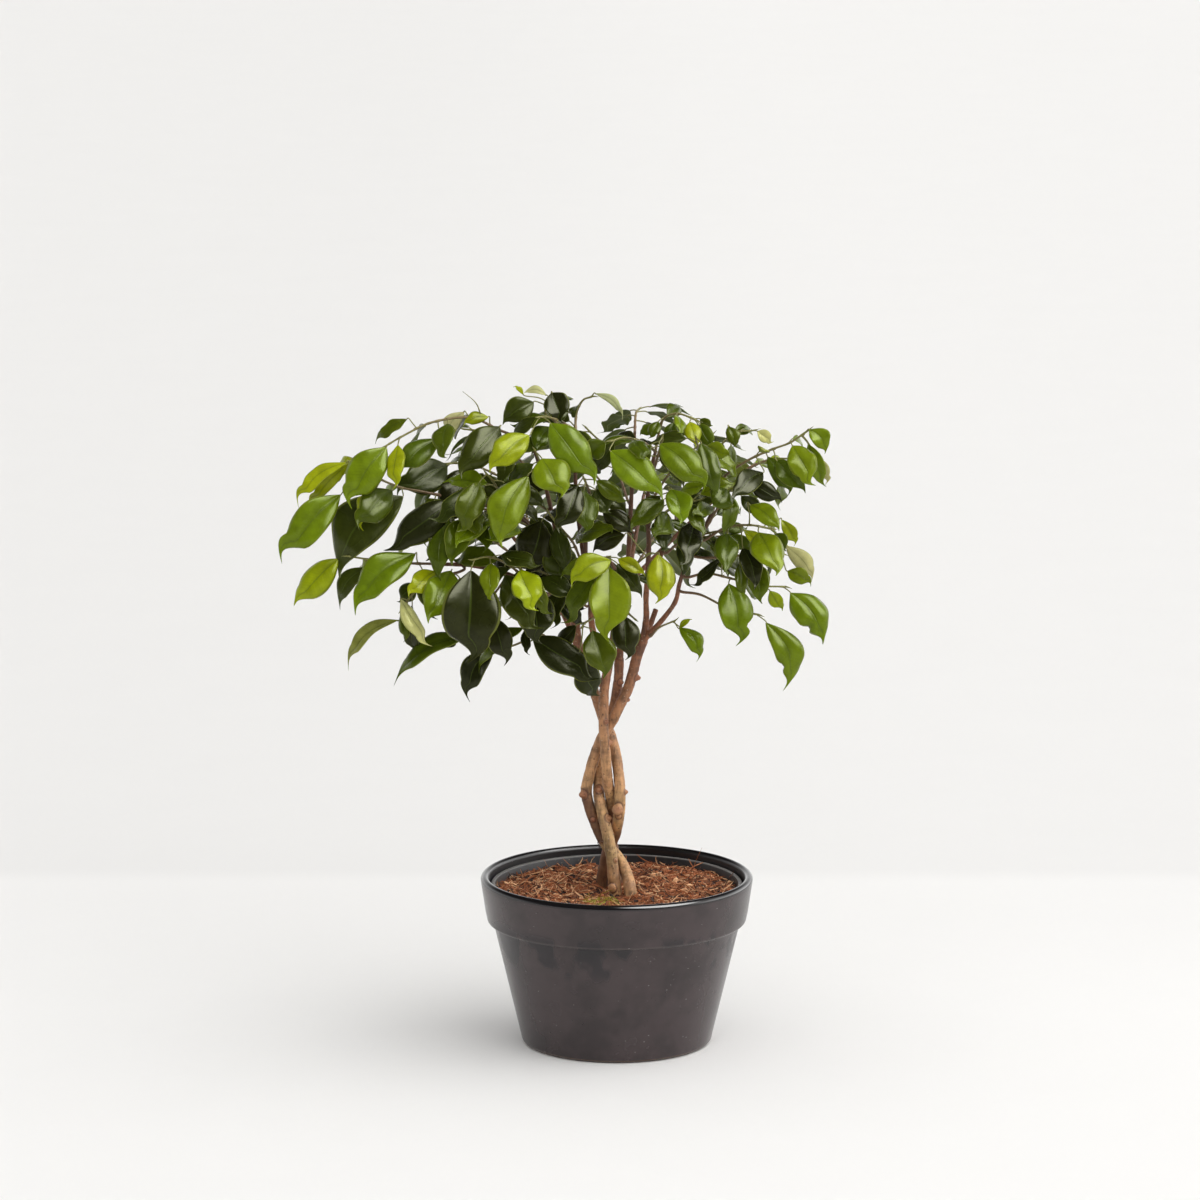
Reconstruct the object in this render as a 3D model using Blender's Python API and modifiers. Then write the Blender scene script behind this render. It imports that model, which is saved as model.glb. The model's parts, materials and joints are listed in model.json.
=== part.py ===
"""A potted weeping fig: four braided strands with leafy shoots, in a grow pot inside a glazed pot.

Metres, +Z up. The origin is the centre of the glazed pot's underside. Tables are in millimetres.
Every strand, with the branches that grow from it, is one solid. So is every leafy shoot: a twig, its
leaf stalks and its leaves, which grew as one piece.
"""

import itertools
import math
import random

import bmesh
import bpy
import numpy as np
from mathutils import Matrix, Vector, noise
from mathutils.bvhtree import BVHTree

MM = 0.001
GAP = 0.3 * MM  # left between solids that touch or rest on each other
CLEAR = 0.6 * MM  # least room round a twig or a leaf where it passes another piece
UP = Vector((0, 0, 1))

# Glazed pot
POT_HEIGHT = 135.1 * MM
RIM_RADIUS = 108 * MM
LIP = 6.8 * MM
COLLAR_HEIGHT = 36.9 * MM
COLLAR_TAPER = 5 * MM
COLLAR_ROUND = 2.5 * MM
BODY_TOP_RADIUS = 98.2 * MM
FOOT_RADIUS = 74.8 * MM
FOOT_ROUND = 4.5 * MM
POT_WALL = 6.5 * MM
POT_FLOOR = 7 * MM
FLOOR_ROUND = 6 * MM
SHOULDER = POT_HEIGHT - COLLAR_HEIGHT
WALL_STEP = (SHOULDER - 2 * MM, SHOULDER + 6 * MM)  # between these heights the inner wall steps out
POT_STEPS = 36

# Plastic grow pot
GROW_WALL = 1.3 * MM
GROW_CLEAR = 1.5 * MM
GROW_RIM_DROP = 6.7 * MM
GROW_FLANGE = 2.2 * MM
GROW_FLOOR = 1.6 * MM
GROW_CORNER = 5 * MM
GROW_BOTTOM = POT_FLOOR + GAP
GROW_TOP = POT_HEIGHT - GROW_RIM_DROP
GROW_LEVELS = (GROW_BOTTOM + 6 * MM, SHOULDER - 2 * MM, SHOULDER + 5 * MM)  # where its wall bends
GROW_STEPS = 28
DRAIN_HOLES = 5
DRAIN_RADIUS = 5 * MM
DRAIN_CIRCLE = 42 * MM
DRAIN_TURN = 0.37  # of one spacing
DRAIN_DEPTH = 20 * MM
DRAIN_SIDES = 12

# Soil
SOIL_DROP = 13.9 * MM  # from the glazed pot's rim
SOIL_ROUGH = 2.2 * MM
SOIL_BUMP = 16 * MM
SOIL_EDGE = 10 * MM  # the ring along the pot's wall where the soil evens out
HEAP_PLACE = (30 * MM, 45 * MM)
HEAP_HEIGHT = 2 * MM
HEAP_SPREAD = 35 * MM
SOIL_RINGS = 4

# Leaves: stations from base to drip tip, with the width there as a share of the greatest
LEAF_STATIONS = ((0.0, 0.0), (0.1, 0.5), (0.38, 1.0), (0.74, 0.58))
LEAF_THICK = 0.9 * MM
STALK_RADIUS = 0.5 * MM
STALK_LENGTH = 9 * MM
STALK_ROOT = 0.23 * MM  # the stalk starts this far past the twig's middle
STALK_LIFT = 0.35
STRAY = (0.35, 1.6, 0.35)  # how much of a later attempt's shift is across, in depth and in height
LEAF_ARCH = 0.09
LEAF_SHAPE = 0.46  # greatest width over length
LEAF_TRIES = 60
TWIG_TRIES = 60
TWIG_RADII = (1.25 * MM, 0.7 * MM)
TWIG_TILT = 0.4

# Strands: how the braid's middle lines are drawn and eased apart
STRAND_SPANS = 4  # points of a strand's line to each span of its table
STRAND_SKIP = 2  # of which the solid takes every second
BRAID_GAP = 0.9 * MM
EASE_ROUNDS = 80
STAND_OFF = 3 * MM  # a twig leaves its branch square to it for this far

# The strands, soil to crown: radius at foot and top, then points along the middle.
STRANDS = {
    "stem_a": (4.7, 3.6, (
        (-12, 19, 86), (-12, 17, 122), (-10, 13, 136), (-7, 8, 154), (-2, 2, 168), (1, -6, 184),
        (2, -8, 200), (1, -5, 216), (-1, 0, 232), (-5, 6, 247), (-11, 10, 262), (-17, 9, 280),
        (-24, 5, 300), (-30, 3, 317), (-33, 0, 340), (-36, -3, 360))),
    "stem_b": (4.7, 3.9, (
        (14, -25, 86), (11, -21, 121), (8, -15, 135), (1, -4, 149), (-8, 1, 160), (-15, 3, 174),
        (-20, 1, 188), (-23.5, 0, 202), (-22, 0, 212), (-18, 0, 228), (-12, 0, 244), (-4, -2, 259),
        (1, -4, 270), (7, -2, 282), (12, 0, 295), (15, 0, 309), (21, 0, 325))),
    "stem_c": (4.4, 3.6, (
        (2, 9, 86), (1, 9, 115), (1, 12, 132), (-3, 19, 150), (-5, 16, 164), (-6, 8, 180),
        (-6, -1, 198), (-8, -9, 218), (-9, -12, 238), (-10.5, -13, 256), (-10.5, -12, 270),
        (-10, -8, 286), (-8, -5, 298), (-6, -4, 311))),
    "stem_d": (4.8, 3.6, (
        (1, -14, 86), (0, -13, 120), (-1, -13, 138), (-3, -11, 153), (-6, -9, 168), (-10, -5, 184),
        (-13, -1, 198), (-14, 4, 210), (-13, 8, 222), (-11, 11, 238), (-7, 13, 253), (-4, 11, 265),
        (-1, 9, 277), (1, 6, 292), (2, 4, 309))),
}

# The branches: the strand they grow from, radius at foot and end, then points; the first is in the parent.
BRANCHES = {
    "a_left": ("stem_a", 2.7, 1.5, ((-33, -1, 345), (-55, -8, 362), (-80, -15, 378), (-111, -22, 388),
                                    (-140, -30, 391))),
    "a_high": ("stem_a", 2.9, 1.5, ((-35, -2, 354), (-44, -3, 385), (-60, -6, 412), (-90, -10, 430),
                                    (-128, -12, 440))),
    "a_top": ("stem_a", 2.1, 1.4, ((-44, -3, 385), (-50, 5, 420), (-58, 0, 455), (-66, -12, 482))),
    "a_back": ("stem_a", 2.6, 1.4, ((-28, 4, 312), (-45, 30, 345), (-70, 60, 380), (-95, 90, 405))),
    "a_low": ("stem_a", 2.7, 2.4, ((-26, 5, 306), (-42, 5, 316), (-60, 0, 328))),
    "b_right": ("stem_b", 2.3, 1.5, ((21, 0, 324), (28, -4, 333), (37, -8, 344), (46, -12, 358),
                                     (49, -14, 372), (54, -17, 387), (64, -19, 408), (74, -20, 430))),
    "b_up": ("stem_b", 2.8, 1.5, ((19, 0, 320), (23, 0, 340), (23, -2, 360), (25, -5, 400),
                                  (24, -8, 440), (29, -12, 474))),
    "b_stub": ("stem_b", 2.4, 2.2, ((21, 0, 324), (27, 6, 337), (31, 8, 348))),
    "b_mid": ("stem_b", 2.1, 1.4, ((23, -2, 366), (34, 4, 390), (43, 8, 412), (58, 10, 436),
                                   (70, 8, 462))),
    "c_left": ("stem_c", 2.9, 1.4, ((-8, -5, 298), (-19, -5, 334), (-21, -7, 362), (-27, -12, 400),
                                    (-32, -14, 445), (-33, -12, 490))),
    "c_front": ("stem_c", 2.3, 1.4, ((-6, -4, 309), (-3, -11, 335), (0, -25, 362), (0, -45, 385),
                                     (-6, -60, 400))),
    "c_mid": ("stem_c", 2.0, 1.4, ((-25, -10, 388), (-24, -25, 420), (-22, -40, 448))),
    "d_up": ("stem_d", 3.0, 1.4, ((2, 4, 306), (4, 9, 335), (8, 15, 365), (10, 22, 405),
                                  (12, 25, 445), (14, 22, 485))),
    "d_back": ("stem_d", 2.5, 1.4, ((3, 8, 328), (8, 35, 362), (15, 65, 395), (22, 95, 425))),
    "d_right": ("stem_d", 2.1, 1.4, ((8, 35, 362), (40, 50, 392), (75, 55, 425), (100, 50, 450))),
}

# The leafy shoots: branch, place along it, points of the twig, filler leaves, their length, then the
# leading leaves as (place along the twig, tip, width, turn about the leaf's own axis in degrees). Where
# its shape is known better, a leaf also has its bow to the side, as a share of its length, and its base.
SHOOTS = {
    "shoot_top_left": ("a_top", 1, ((-91, -20, 495), (-114, -25, 506), (-144, -30, 503),
                                    (-165, -36, 494), (-178, -40, 487)), 5, 40, (
        (0.99, (-205, -60, 439), 29, 0, 0.09, (-179, -46, 486)),
        (0.79, (-188, -33, 486), 13, 30, 0.04, (-163, -33, 506)),
        (0.26, (-120, -62, 463), 27, 0, 0.05, (-91, -33, 500)),
        (0.31, (-120, -28, 499), 11, 10, 0.13, (-100, -24, 506)),
        (0.45, (-130, -20, 485), 15, 25, 0.19, (-119, -22, 510)),
        (0.65, (-168, -58, 464), 22, 20, 0.08, (-138, -38, 491)))),
    "shoot_left_outer": ("a_high", 1, ((-154, -20, 447), (-171, -28, 452), (-192, -35, 463),
                                       (-205, -38, 472)), 4, 42, (
        (0.99, (-247, -46, 437), 14, 20, 0.15, (-210, -40, 473)),
        (0.99, (-239, -30, 434), 12, -20, 0.09, (-209, -35, 471)),
        (0.95, (-260, -58, 396), 29, 0, 0.05, (-215, -43, 448)),
        (0.49, (-216, -50, 382), 41, 10, 0.16, (-167, -33, 445)),
        (0.59, (-199, -68, 424), 27, -10, 0.07, (-175, -39, 451)))),
    "shoot_left_dark": ("a_high", 0.74, ((-118, -30, 436), (-136, -42, 434)), 5, 46, (
        (0.74, (-182, -48, 405), 28, 10, -0.04, (-129, -38, 442)), (0.7, (-150, -66, 398), 24, -15))),
    "shoot_left_mid": ("a_left", 1, ((-165, -42, 394), (-190, -45, 397), (-207, -47, 400)), 2, 40, (
        (0.99, (-252, -44, 360), 23, 10, 0.01, (-217, -40, 397)),
        (0.81, (-216, -40, 356), 16, 25, 0.15, (-195, -44, 391)),
        (0.24, (-203, -68, 357), 29, 15, 0.11, (-157, -46, 402)))),
    "shoot_left_low": ("a_left", 0.84, ((-146, -44, 380), (-158, -50, 372), (-167, -52, 360)), 3, 34, (
        (0.99, (-209, -58, 311), 16, 40, 0.17, (-170, -54, 351)),
        (0.88, (-143, -68, 333), 16, -30, 0.11, (-168, -56, 368)), (0.8, (-160, -40, 318), 16, 40),
        (0.4, (-161, -72, 371), 18, 0, -0, (-141, -50, 389)),
        (0.22, (-146, -84, 354), 28, -5, 0.01, (-129, -49, 389)), (0.55, (-172, -44, 364), 16, 20))),
    "shoot_left_under": ("a_left", 0.55, ((-98, -32, 364), (-107, -40, 346)), 1, 38, (
        (0.99, (-174, -62, 300), 23, 40, 0.13, (-115, -53, 338)), (0.6, (-138, -36, 326), 18, 20))),
    "shoot_left_front": ("a_left", 0.38, ((-84, -40, 392), (-99, -60, 402), (-111, -70, 402)), 3, 40, (
        (0.99, (-117, -88, 323), 47, 0, -0.01, (-113, -75, 394)), (0.8, (-95, -92, 374), 17, 20),
        (0.55, (-55, -80, 350), 26, 0, 0.1, (-87, -55, 387)))),
    "shoot_front_left": ("a_high", 0.55, ((-88, -32, 444), (-96, -52, 460), (-101, -62, 468)), 5, 40, (
        (1, (-125, -84, 426), 23, 0), (0.63, (-127, -74, 397), 23, 5, 0.06, (-115, -50, 431)),
        (0.75, (-148, -72, 436), 20, 10))),
    "shoot_front_mid": ("c_left", 0.68, ((-44, -36, 455), (-57, -55, 472), (-63, -66, 486)), 4, 40, (
        (0.83, (-88, -95, 415), 31, 5, 0.12, (-69, -69, 467)), (1, (-44, -94, 454), 30, 0))),
    "shoot_front_top": ("c_left", 1, ((-43, -28, 503), (-55, -46, 510), (-60, -54, 511)), 4, 38, (
        (0.99, (-98, -82, 471), 24, 5, 0.07, (-68, -62, 498)), (0.94, (-18, -78, 461), 29, 5))),
    "shoot_crown_left": ("c_left", 0.9, ((-46, -8, 497), (-56, -14, 508), (-52, -16, 519)), 3, 36, (
        (0.99, (-41, -36, 503), 21, 0, 0.04, (-51, -22, 525)),
        (0.9, (-89, -26, 500), 20, 0, 0.08, (-65, -18, 517)),
        (0.99, (-74, -14, 522), 8, 20, 0.22, (-55, -15, 522)), (0.55, (-62, -40, 482), 20, 10),
        (0.95, (-81, -20, 529), 4, 0, 0.15, (-73, -17, 523)))),
    "shoot_crown_tip": ("c_left", 0.96, ((-32, 4, 503), (-27, 2, 515), (-20, -4, 519)), 2, 34, (
        (0.99, (4, -10, 501), 7, 30, -0.23, (-17, -6, 522)), (0.5, (-54, 4, 508), 20, 0))),
    "shoot_front_high": ("b_up", 1, ((20, -34, 488), (6, -54, 495), (-3, -62, 494)), 4, 34, (
        (0.99, (35, -88, 451), 28, 0, -0.03, (-5, -69, 487)), (0.95, (-24, -56, 478), 17, 0),
        (0.35, (-17, -30, 483), 16, 45))),
    "shoot_front_right": ("b_up", 0.9, ((33, -34, 482), (35, -54, 493), (35, -64, 498)), 4, 34, (
        (0.99, (65, -92, 457), 26, 0, -0.09, (33, -72, 493)), (0.6, (8, -50, 470), 18, 20))),
    "shoot_right_front": ("b_mid", 0.55, ((46, -16, 432), (42, -40, 447), (40, -56, 456)), 4, 36, (
        (0.99, (47, -84, 431), 22, 0, -0.11, (42, -64, 456)), (0.7, (11, -68, 423), 19, 15),
        (0.36, (48, -72, 398), 20, 0, -0.03, (60, -33, 425)))),
    "shoot_centre": ("c_mid", 1, ((-24, -54, 459), (-26, -62, 465)), 3, 34, (
        (1, (-44, -88, 425), 21, 0), (0.75, (-28, -82, 424), 22, 0), (0.5, (-4, -66, 438), 23, 0),
        (0.03, (12, -64, 420), 17, 0, -0.09, (-11, -58, 437)))),
    "shoot_front_low": ("c_front", 1, ((-8, -72, 404), (-6, -80, 406)), 2, 34, (
        (0.99, (-35, -97, 384), 21, 0, 0.16, (-5, -85, 404)), (0.9, (-6, -104, 343), 34, 0),
        (0.5, (22, -80, 390), 11, 0), (0.3, (-46, -80, 354), 18, 0))),
    "shoot_low_right": ("c_front", 0.66, ((14, -56, 394), (24, -70, 406)), 2, 34, (
        (0.99, (29, -92, 371), 23, 0, -0.1, (32, -76, 407)),
        (0.95, (-19, -52, 403), 17, 0, 0.12, (6, -63, 420)))),
    "shoot_low_left": ("a_left", 0.18, ((-62, -38, 374), (-73, -60, 391), (-81, -72, 400)), 4, 38, (
        (1, (-60, -94, 366), 25, 0), (0.6, (-58, -66, 334), 30, 5), (0.8, (-48, -82, 362), 16, 20))),
    "shoot_under_centre": ("c_front", 0.3, ((-14, -32, 349), (-24, -46, 348), (-27, -54, 346)), 2, 30, (
        (1, (-11, -68, 307), 27, 0, 0, (-19, -56, 343)),
        (0.99, (-13, -40, 288), 22, 0, 0.11, (-28, -49, 318)))),
    "shoot_under_left": ("a_low", 0.8, ((-60, -18, 333), (-66, -36, 332)), 0, 34, (
        (1, (-12, -54, 305), 27, 0, 0.04, (-66, -40, 335)),
        (0.88, (-108, -38, 305), 19, 40, 0.13, (-73, -33, 341)),
        (0.4, (-68, -38, 320), 8, 30, 0, (-72, -30, 339)))),
    "shoot_low_twig": ("a_low", 1, ((-74, -3, 324), (-84, -8, 321), (-91, -12, 322)), 0, 32, (
        (0.99, (-115, -28, 280), 19, 0, 0.19, (-96, -17, 321)),)),
    "shoot_under_right": ("c_front", 0.5, ((8, -26, 352), (14, -34, 348)), 1, 28, (
        (0.56, (6, -44, 317), 23, 0, -0.01, (6, -32, 350)),)),
    "shoot_small_right": ("b_right", 0.08, ((33, -13, 337), (44, -18, 343)), 0, 24, (
        (0.99, (62, -32, 313), 14, 0, -0.21, (49, -22, 339)),
        (0.99, (59, -20, 345), 5, 0, -0.1, (49, -19, 338)))),
    "shoot_top_right": ("b_up", 0.96, ((33, 2, 490), (37, -2, 502), (48, -6, 506), (61, -10, 502)), 5, 26, (
        (0.5, (18, -3, 488), 11, 20), (0.6, (24, -16, 488), 11, 20), (0.75, (42, -16, 484), 11, 10),
        (0.96, (61, -30, 483), 14, 0, -0.02, (57, -15, 501)), (0.95, (77, -22, 481), 14, 20),
        (1, (75, -8, 497), 9, 30))),
    "shoot_high_right": ("b_mid", 1, ((80, 4, 478), (92, -2, 490), (104, -3, 492)), 5, 26, (
        (0.75, (90, -14, 480), 11, 10, -0.15, (87, -6, 496)), (1, (123, 0, 483), 10, 10),
        (0.6, (75, -10, 470), 13, 20))),
    "shoot_right_top": ("b_mid", 0.86, ((64, -14, 476), (62, -38, 488), (61, -50, 494)), 4, 32, (
        (0.99, (75, -74, 450), 19, 0, -0.02, (65, -57, 491)), (0.7, (88, -50, 478), 14, 30))),
    "shoot_right_tip": ("b_right", 1, ((81, -24, 456), (100, -30, 472), (119, -35, 482),
                                       (134, -37, 488), (147, -38, 497)), 3, 30, (
        (0.86, (154, -64, 459), 24, 0, 0.02, (136, -45, 487)),
        (0.99, (161, -44, 480), 15, 10, -0.2, (149, -40, 499)),
        (0.96, (162, -26, 453), 14, 40, -0.1, (153, -34, 480)),
        (0.72, (146, -54, 451), 17, 15, -0.01, (124, -41, 475)),
        (0.66, (131, -42, 445), 16, 30, -0.14, (117, -36, 477)), (0.95, (163, -36, 453), 14, 20),
        (0.58, (90, -72, 447), 20, 0, 0.09, (113, -44, 466)))),
    "shoot_right_inner": ("b_right", 0.9, ((84, -38, 446), (95, -46, 458)), 4, 30, (
        (0.9, (73, -62, 442), 23, 0), (1, (128, -52, 443), 15, 20), (0.8, (110, -40, 430), 13, 10))),
    "shoot_right_mid": ("b_right", 0.82, ((84, -32, 420), (103, -36, 423), (120, -36, 420)), 3, 32, (
        (0.72, (125, -76, 425), 17, 0, -0.07, (103, -54, 442)),
        (0.99, (138, -30, 405), 11, 20, -0.11, (128, -34, 427)), (1, (132, -46, 404), 13, 10),
        (0.84, (122, -88, 392), 26, 0, -0.03, (110, -52, 420)),
        (0.45, (82, -78, 393), 20, 0, -0.01, (86, -46, 418)),
        (0.61, (106, -62, 376), 18, 0, -0.08, (98, -43, 406)))),
    "shoot_right_low": ("b_right", 0.7, ((76, -30, 396), (104, -38, 400), (128, -36, 400)), 3, 32, (
        (0.75, (113, -56, 364), 18, 10), (0.99, (152, -24, 375), 15, 20, -0.12, (132, -32, 406)),
        (0.99, (151, -42, 375), 14, 20, -0.13, (133, -38, 387)))),
    "shoot_low_outer": ("b_right", 0.55, ((70, -32, 384), (88, -42, 382), (110, -46, 377),
                                          (130, -46, 376)), 1, 32, (
        (0.51, (92, -68, 333), 27, 0, -0.07, (87, -50, 379)),
        (0.99, (160, -62, 333), 28, 0, -0.12, (135, -51, 372)), (0.8, (129, -38, 355), 12, 20),
        (0.43, (55, -48, 379), 13, 40, -0.2, (81, -42, 397)))),
    "shoot_low_end": ("b_right", 0.44, ((66, -28, 366), (88, -44, 358), (109, -51, 355)), 0, 30, (
        (0.99, (129, -62, 296), 24, 0, -0.2, (116, -54, 349)),)),
    "shoot_back_left": ("a_back", 1, ((-115, 102, 416), (-136, 108, 420)), 6, 46, ()),
    "shoot_back_mid_left": ("a_back", 0.72, ((-74, 92, 425), (-80, 112, 448)), 6, 46, ()),
    "shoot_back_side": ("a_back", 0.55, ((-95, 55, 392), (-128, 58, 404), (-158, 56, 402)), 6, 46, ()),
    "shoot_back": ("d_back", 1, ((25, 114, 440), (29, 130, 447)), 6, 46, ()),
    "shoot_back_centre": ("d_back", 0.72, ((-8, 90, 430), (-28, 108, 450)), 6, 46, ()),
    "shoot_back_low": ("d_back", 0.5, ((34, 78, 398), (50, 100, 392)), 5, 44, ()),
    "shoot_back_right": ("d_right", 1, ((120, 50, 460), (140, 46, 462)), 7, 40, ()),
    "shoot_back_high": ("d_right", 0.66, ((74, 80, 450), (80, 102, 462)), 6, 42, ()),
    "shoot_back_outer": ("d_right", 0.45, ((88, 42, 400), (118, 38, 398)), 5, 40, ()),
    "shoot_rear_top": ("a_top", 0.62, ((-80, 26, 468), (-100, 44, 482), (-120, 54, 484)), 6, 44, ()),
    "shoot_high_back": ("d_up", 1, ((15, 44, 498), (18, 70, 498)), 6, 40, ()),
    "shoot_inner_back": ("d_up", 0.7, ((-4, 58, 462), (-24, 84, 480)), 7, 44, ()),
    "shoot_inner_left": ("a_top", 0.45, ((-84, 14, 448), (-114, 16, 462), (-140, 8, 464)), 5, 44, (
        (0.85, (-172, -22, 444), 28, 0), (0.7, (-136, -26, 424), 30, 0))),
    "shoot_inner_right": ("d_up", 0.6, ((44, 30, 456), (74, 34, 482)), 6, 34, ()),
    "shoot_low_back": ("a_back", 0.3, ((-54, 58, 350), (-62, 84, 346)), 5, 42, ()),
    "shoot_deep_left": ("a_high", 0.3, ((-58, -24, 412), (-78, -34, 426), (-98, -36, 432)), 7, 46, ()),
    "shoot_deep_centre": ("c_left", 0.46, ((-34, -32, 408), (-46, -42, 424), (-54, -46, 436)), 5, 44, (
        (1, (-76, -60, 382), 34, 0), (0.7, (-46, -50, 376), 28, 10))),
    "shoot_deep_right": ("b_up", 0.62, ((36, -24, 430), (52, -38, 440), (64, -42, 444)), 7, 38, ()),
    "shoot_deep_low": ("c_left", 0.3, ((-36, -20, 370), (-58, -28, 384), (-74, -30, 388)), 6, 42, ()),
    "shoot_deep_outer": ("b_mid", 0.3, ((50, -4, 404), (70, -12, 412), (88, -12, 414)), 6, 38, ()),
}


COLOURS = {
    "glaze": ((0.012, 0.010, 0.010), 0.18),
    "plastic": ((0.02, 0.02, 0.022), 0.5),
    "soil": ((0.17, 0.06, 0.025), 0.95),
    "bark": ((0.29, 0.14, 0.07), 0.7),
    "leaf": ((0.06, 0.16, 0.01), 0.35),
}


# ---------------------------------------------------------------- scene and mesh helpers

def clear_scene():
    for thing in list(bpy.data.objects):
        bpy.data.objects.remove(thing, do_unlink=True)


def new_collection(name):
    made = bpy.data.collections.new(name)
    bpy.context.scene.collection.children.link(made)
    return made


def material(name):
    made = bpy.data.materials.get(name)
    if made is None:
        colour, roughness = COLOURS[name]
        made = bpy.data.materials.new(name)
        made.use_nodes = True
        shader = made.node_tree.nodes["Principled BSDF"]
        shader.inputs["Base Color"].default_value = (*colour, 1)
        shader.inputs["Roughness"].default_value = roughness
        shader.inputs["Metallic"].default_value = 0
        made.diffuse_color = (*colour, 1)
    return made


def add_object(name, data, collection):
    made = bpy.data.objects.new(name, data)
    collection.objects.link(made)
    return made


def evaluated_mesh(thing, name, weld=True):
    """The mesh an object evaluates to, in world space, with loose caps welded."""
    bpy.context.view_layer.update()
    graph = bpy.context.evaluated_depsgraph_get()
    mesh = bpy.data.meshes.new_from_object(thing.evaluated_get(graph))
    mesh.name = name
    mesh.transform(thing.matrix_world)
    if not weld:
        return mesh
    shape = bmesh.new()
    shape.from_mesh(mesh)
    bmesh.ops.remove_doubles(shape, verts=shape.verts, dist=0.00001)
    bmesh.ops.recalc_face_normals(shape, faces=shape.faces)
    shape.to_mesh(mesh)
    shape.free()
    return mesh


def drop(thing):
    bpy.data.objects.remove(thing, do_unlink=True)


def finish(thing, finish_name, smooth=True):
    thing.data.materials.clear()
    thing.data.materials.append(material(finish_name))
    if smooth:
        thing.data.shade_smooth()
        thing.data.set_sharp_from_angle(angle=math.radians(40))
    return thing


def combine(base, operands, operation):
    """Base with every operand united with it or cut from it, as a plain mesh; the operands go."""
    for thing in operands:
        step = base.modifiers.new(operation.lower(), "BOOLEAN")
        step.operation = operation
        step.solver = "MANIFOLD"  # EXACT leaves slivers where a thin stalk meets a thin twig
        step.object = thing
    mesh = evaluated_mesh(base, base.name, weld=False)
    base.modifiers.clear()
    base.data = mesh
    for thing in operands:
        drop(thing)
    return base


# ---------------------------------------------------------------- curves and turned shapes

def smooth_route(points, per_span):
    """Points on the Catmull-Rom curve through the given ones."""
    line = [Vector(p) for p in points]
    line = [2 * line[0] - line[1], *line, 2 * line[-1] - line[-2]]
    route = []
    for i in range(1, len(line) - 2):
        a, b, c, d = line[i - 1:i + 3]
        for k in range(per_span):
            t = k / per_span
            route.append(0.5 * (2 * b + (c - a) * t + (2 * a - 5 * b + 4 * c - d) * t ** 2
                                + (3 * b - a - 3 * c + d) * t ** 3))
    route.append(line[-2].copy())
    return route


def tube(name, points, radii, bevel, collection):
    """A tapered round tube with closed ends, as a mesh object."""
    curve = bpy.data.curves.new(name, "CURVE")
    curve.dimensions = "3D"
    curve.bevel_depth = 1.0
    curve.bevel_resolution = bevel
    curve.use_fill_caps = True
    spline = curve.splines.new("POLY")
    spline.points.add(len(points) - 1)
    for spot, point, radius in zip(spline.points, points, radii):
        spot.co = (*point, 1)
        spot.radius = radius
        spot.tilt = TWIG_TILT
    bent = add_object(name + "_route", curve, collection)
    mesh = evaluated_mesh(bent, name)
    drop(bent)
    return add_object(name, mesh, collection)


def taper(count, first, last):
    return [first + (last - first) * i / (count - 1) for i in range(count)]


def arc(centre, radius, start, stop, steps):
    """Points on an arc, angles in degrees from +X towards +Z."""
    return [(centre[0] + radius * math.cos(math.radians(start + (stop - start) * i / steps)),
             centre[1] + radius * math.sin(math.radians(start + (stop - start) * i / steps)))
            for i in range(steps + 1)]


def turned(name, profile, steps, collection):
    """A profile of (radius, height) turned round the Z axis by a Screw modifier."""
    mesh = bpy.data.meshes.new(name)
    mesh.from_pydata([(r, 0, z) for r, z in profile], [(i, i + 1) for i in range(len(profile) - 1)], [])
    thing = add_object(name, mesh, collection)
    screw = thing.modifiers.new("turn", "SCREW")
    screw.axis = "Z"
    screw.angle = math.tau
    screw.steps = screw.render_steps = steps
    screw.use_merge_vertices = True
    screw.merge_threshold = 0.00001
    screw.use_smooth_shade = True
    return thing


# ---------------------------------------------------------------- pots and soil

def body_radius(z):
    """Outer radius of the glazed pot below its collar."""
    return FOOT_RADIUS + (BODY_TOP_RADIUS - FOOT_RADIUS) * z / (POT_HEIGHT - COLLAR_HEIGHT)


def inner_radius(z):
    """Inner radius of the glazed pot: the wall steps out behind the collar."""
    low, high = WALL_STEP
    lower = body_radius(min(z, low)) - POT_WALL
    upper = RIM_RADIUS - LIP
    return lower + (upper - lower) * max(0, min(1, (z - low) / (high - low)))


def glazed_pot(collection):
    lip = LIP / 2
    corner = inner_radius(POT_FLOOR + FLOOR_ROUND)
    inside = [(0, POT_FLOOR), (corner - FLOOR_ROUND, POT_FLOOR), (corner, POT_FLOOR + FLOOR_ROUND),
              *((inner_radius(z), z) for z in WALL_STEP)]
    over = arc((RIM_RADIUS - lip, POT_HEIGHT - lip), lip, 180, 0, 4)
    collar = RIM_RADIUS - COLLAR_TAPER
    under = arc((collar - COLLAR_ROUND, SHOULDER + COLLAR_ROUND), COLLAR_ROUND, 0, -90, 2)
    foot = arc((body_radius(FOOT_ROUND) - FOOT_ROUND, FOOT_ROUND), FOOT_ROUND, -12, -90, 2)
    profile = inside + over + under + [(body_radius(SHOULDER), SHOULDER - GAP)] + foot + [(0, 0)]
    return finish(turned("outer_pot", profile, POT_STEPS, collection), "glaze")


def grow_radius(z):
    """Outer radius of the grow pot's wall."""
    return min(inner_radius(z) - GROW_CLEAR, RIM_RADIUS - LIP - GROW_CLEAR - GROW_FLANGE)


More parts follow.
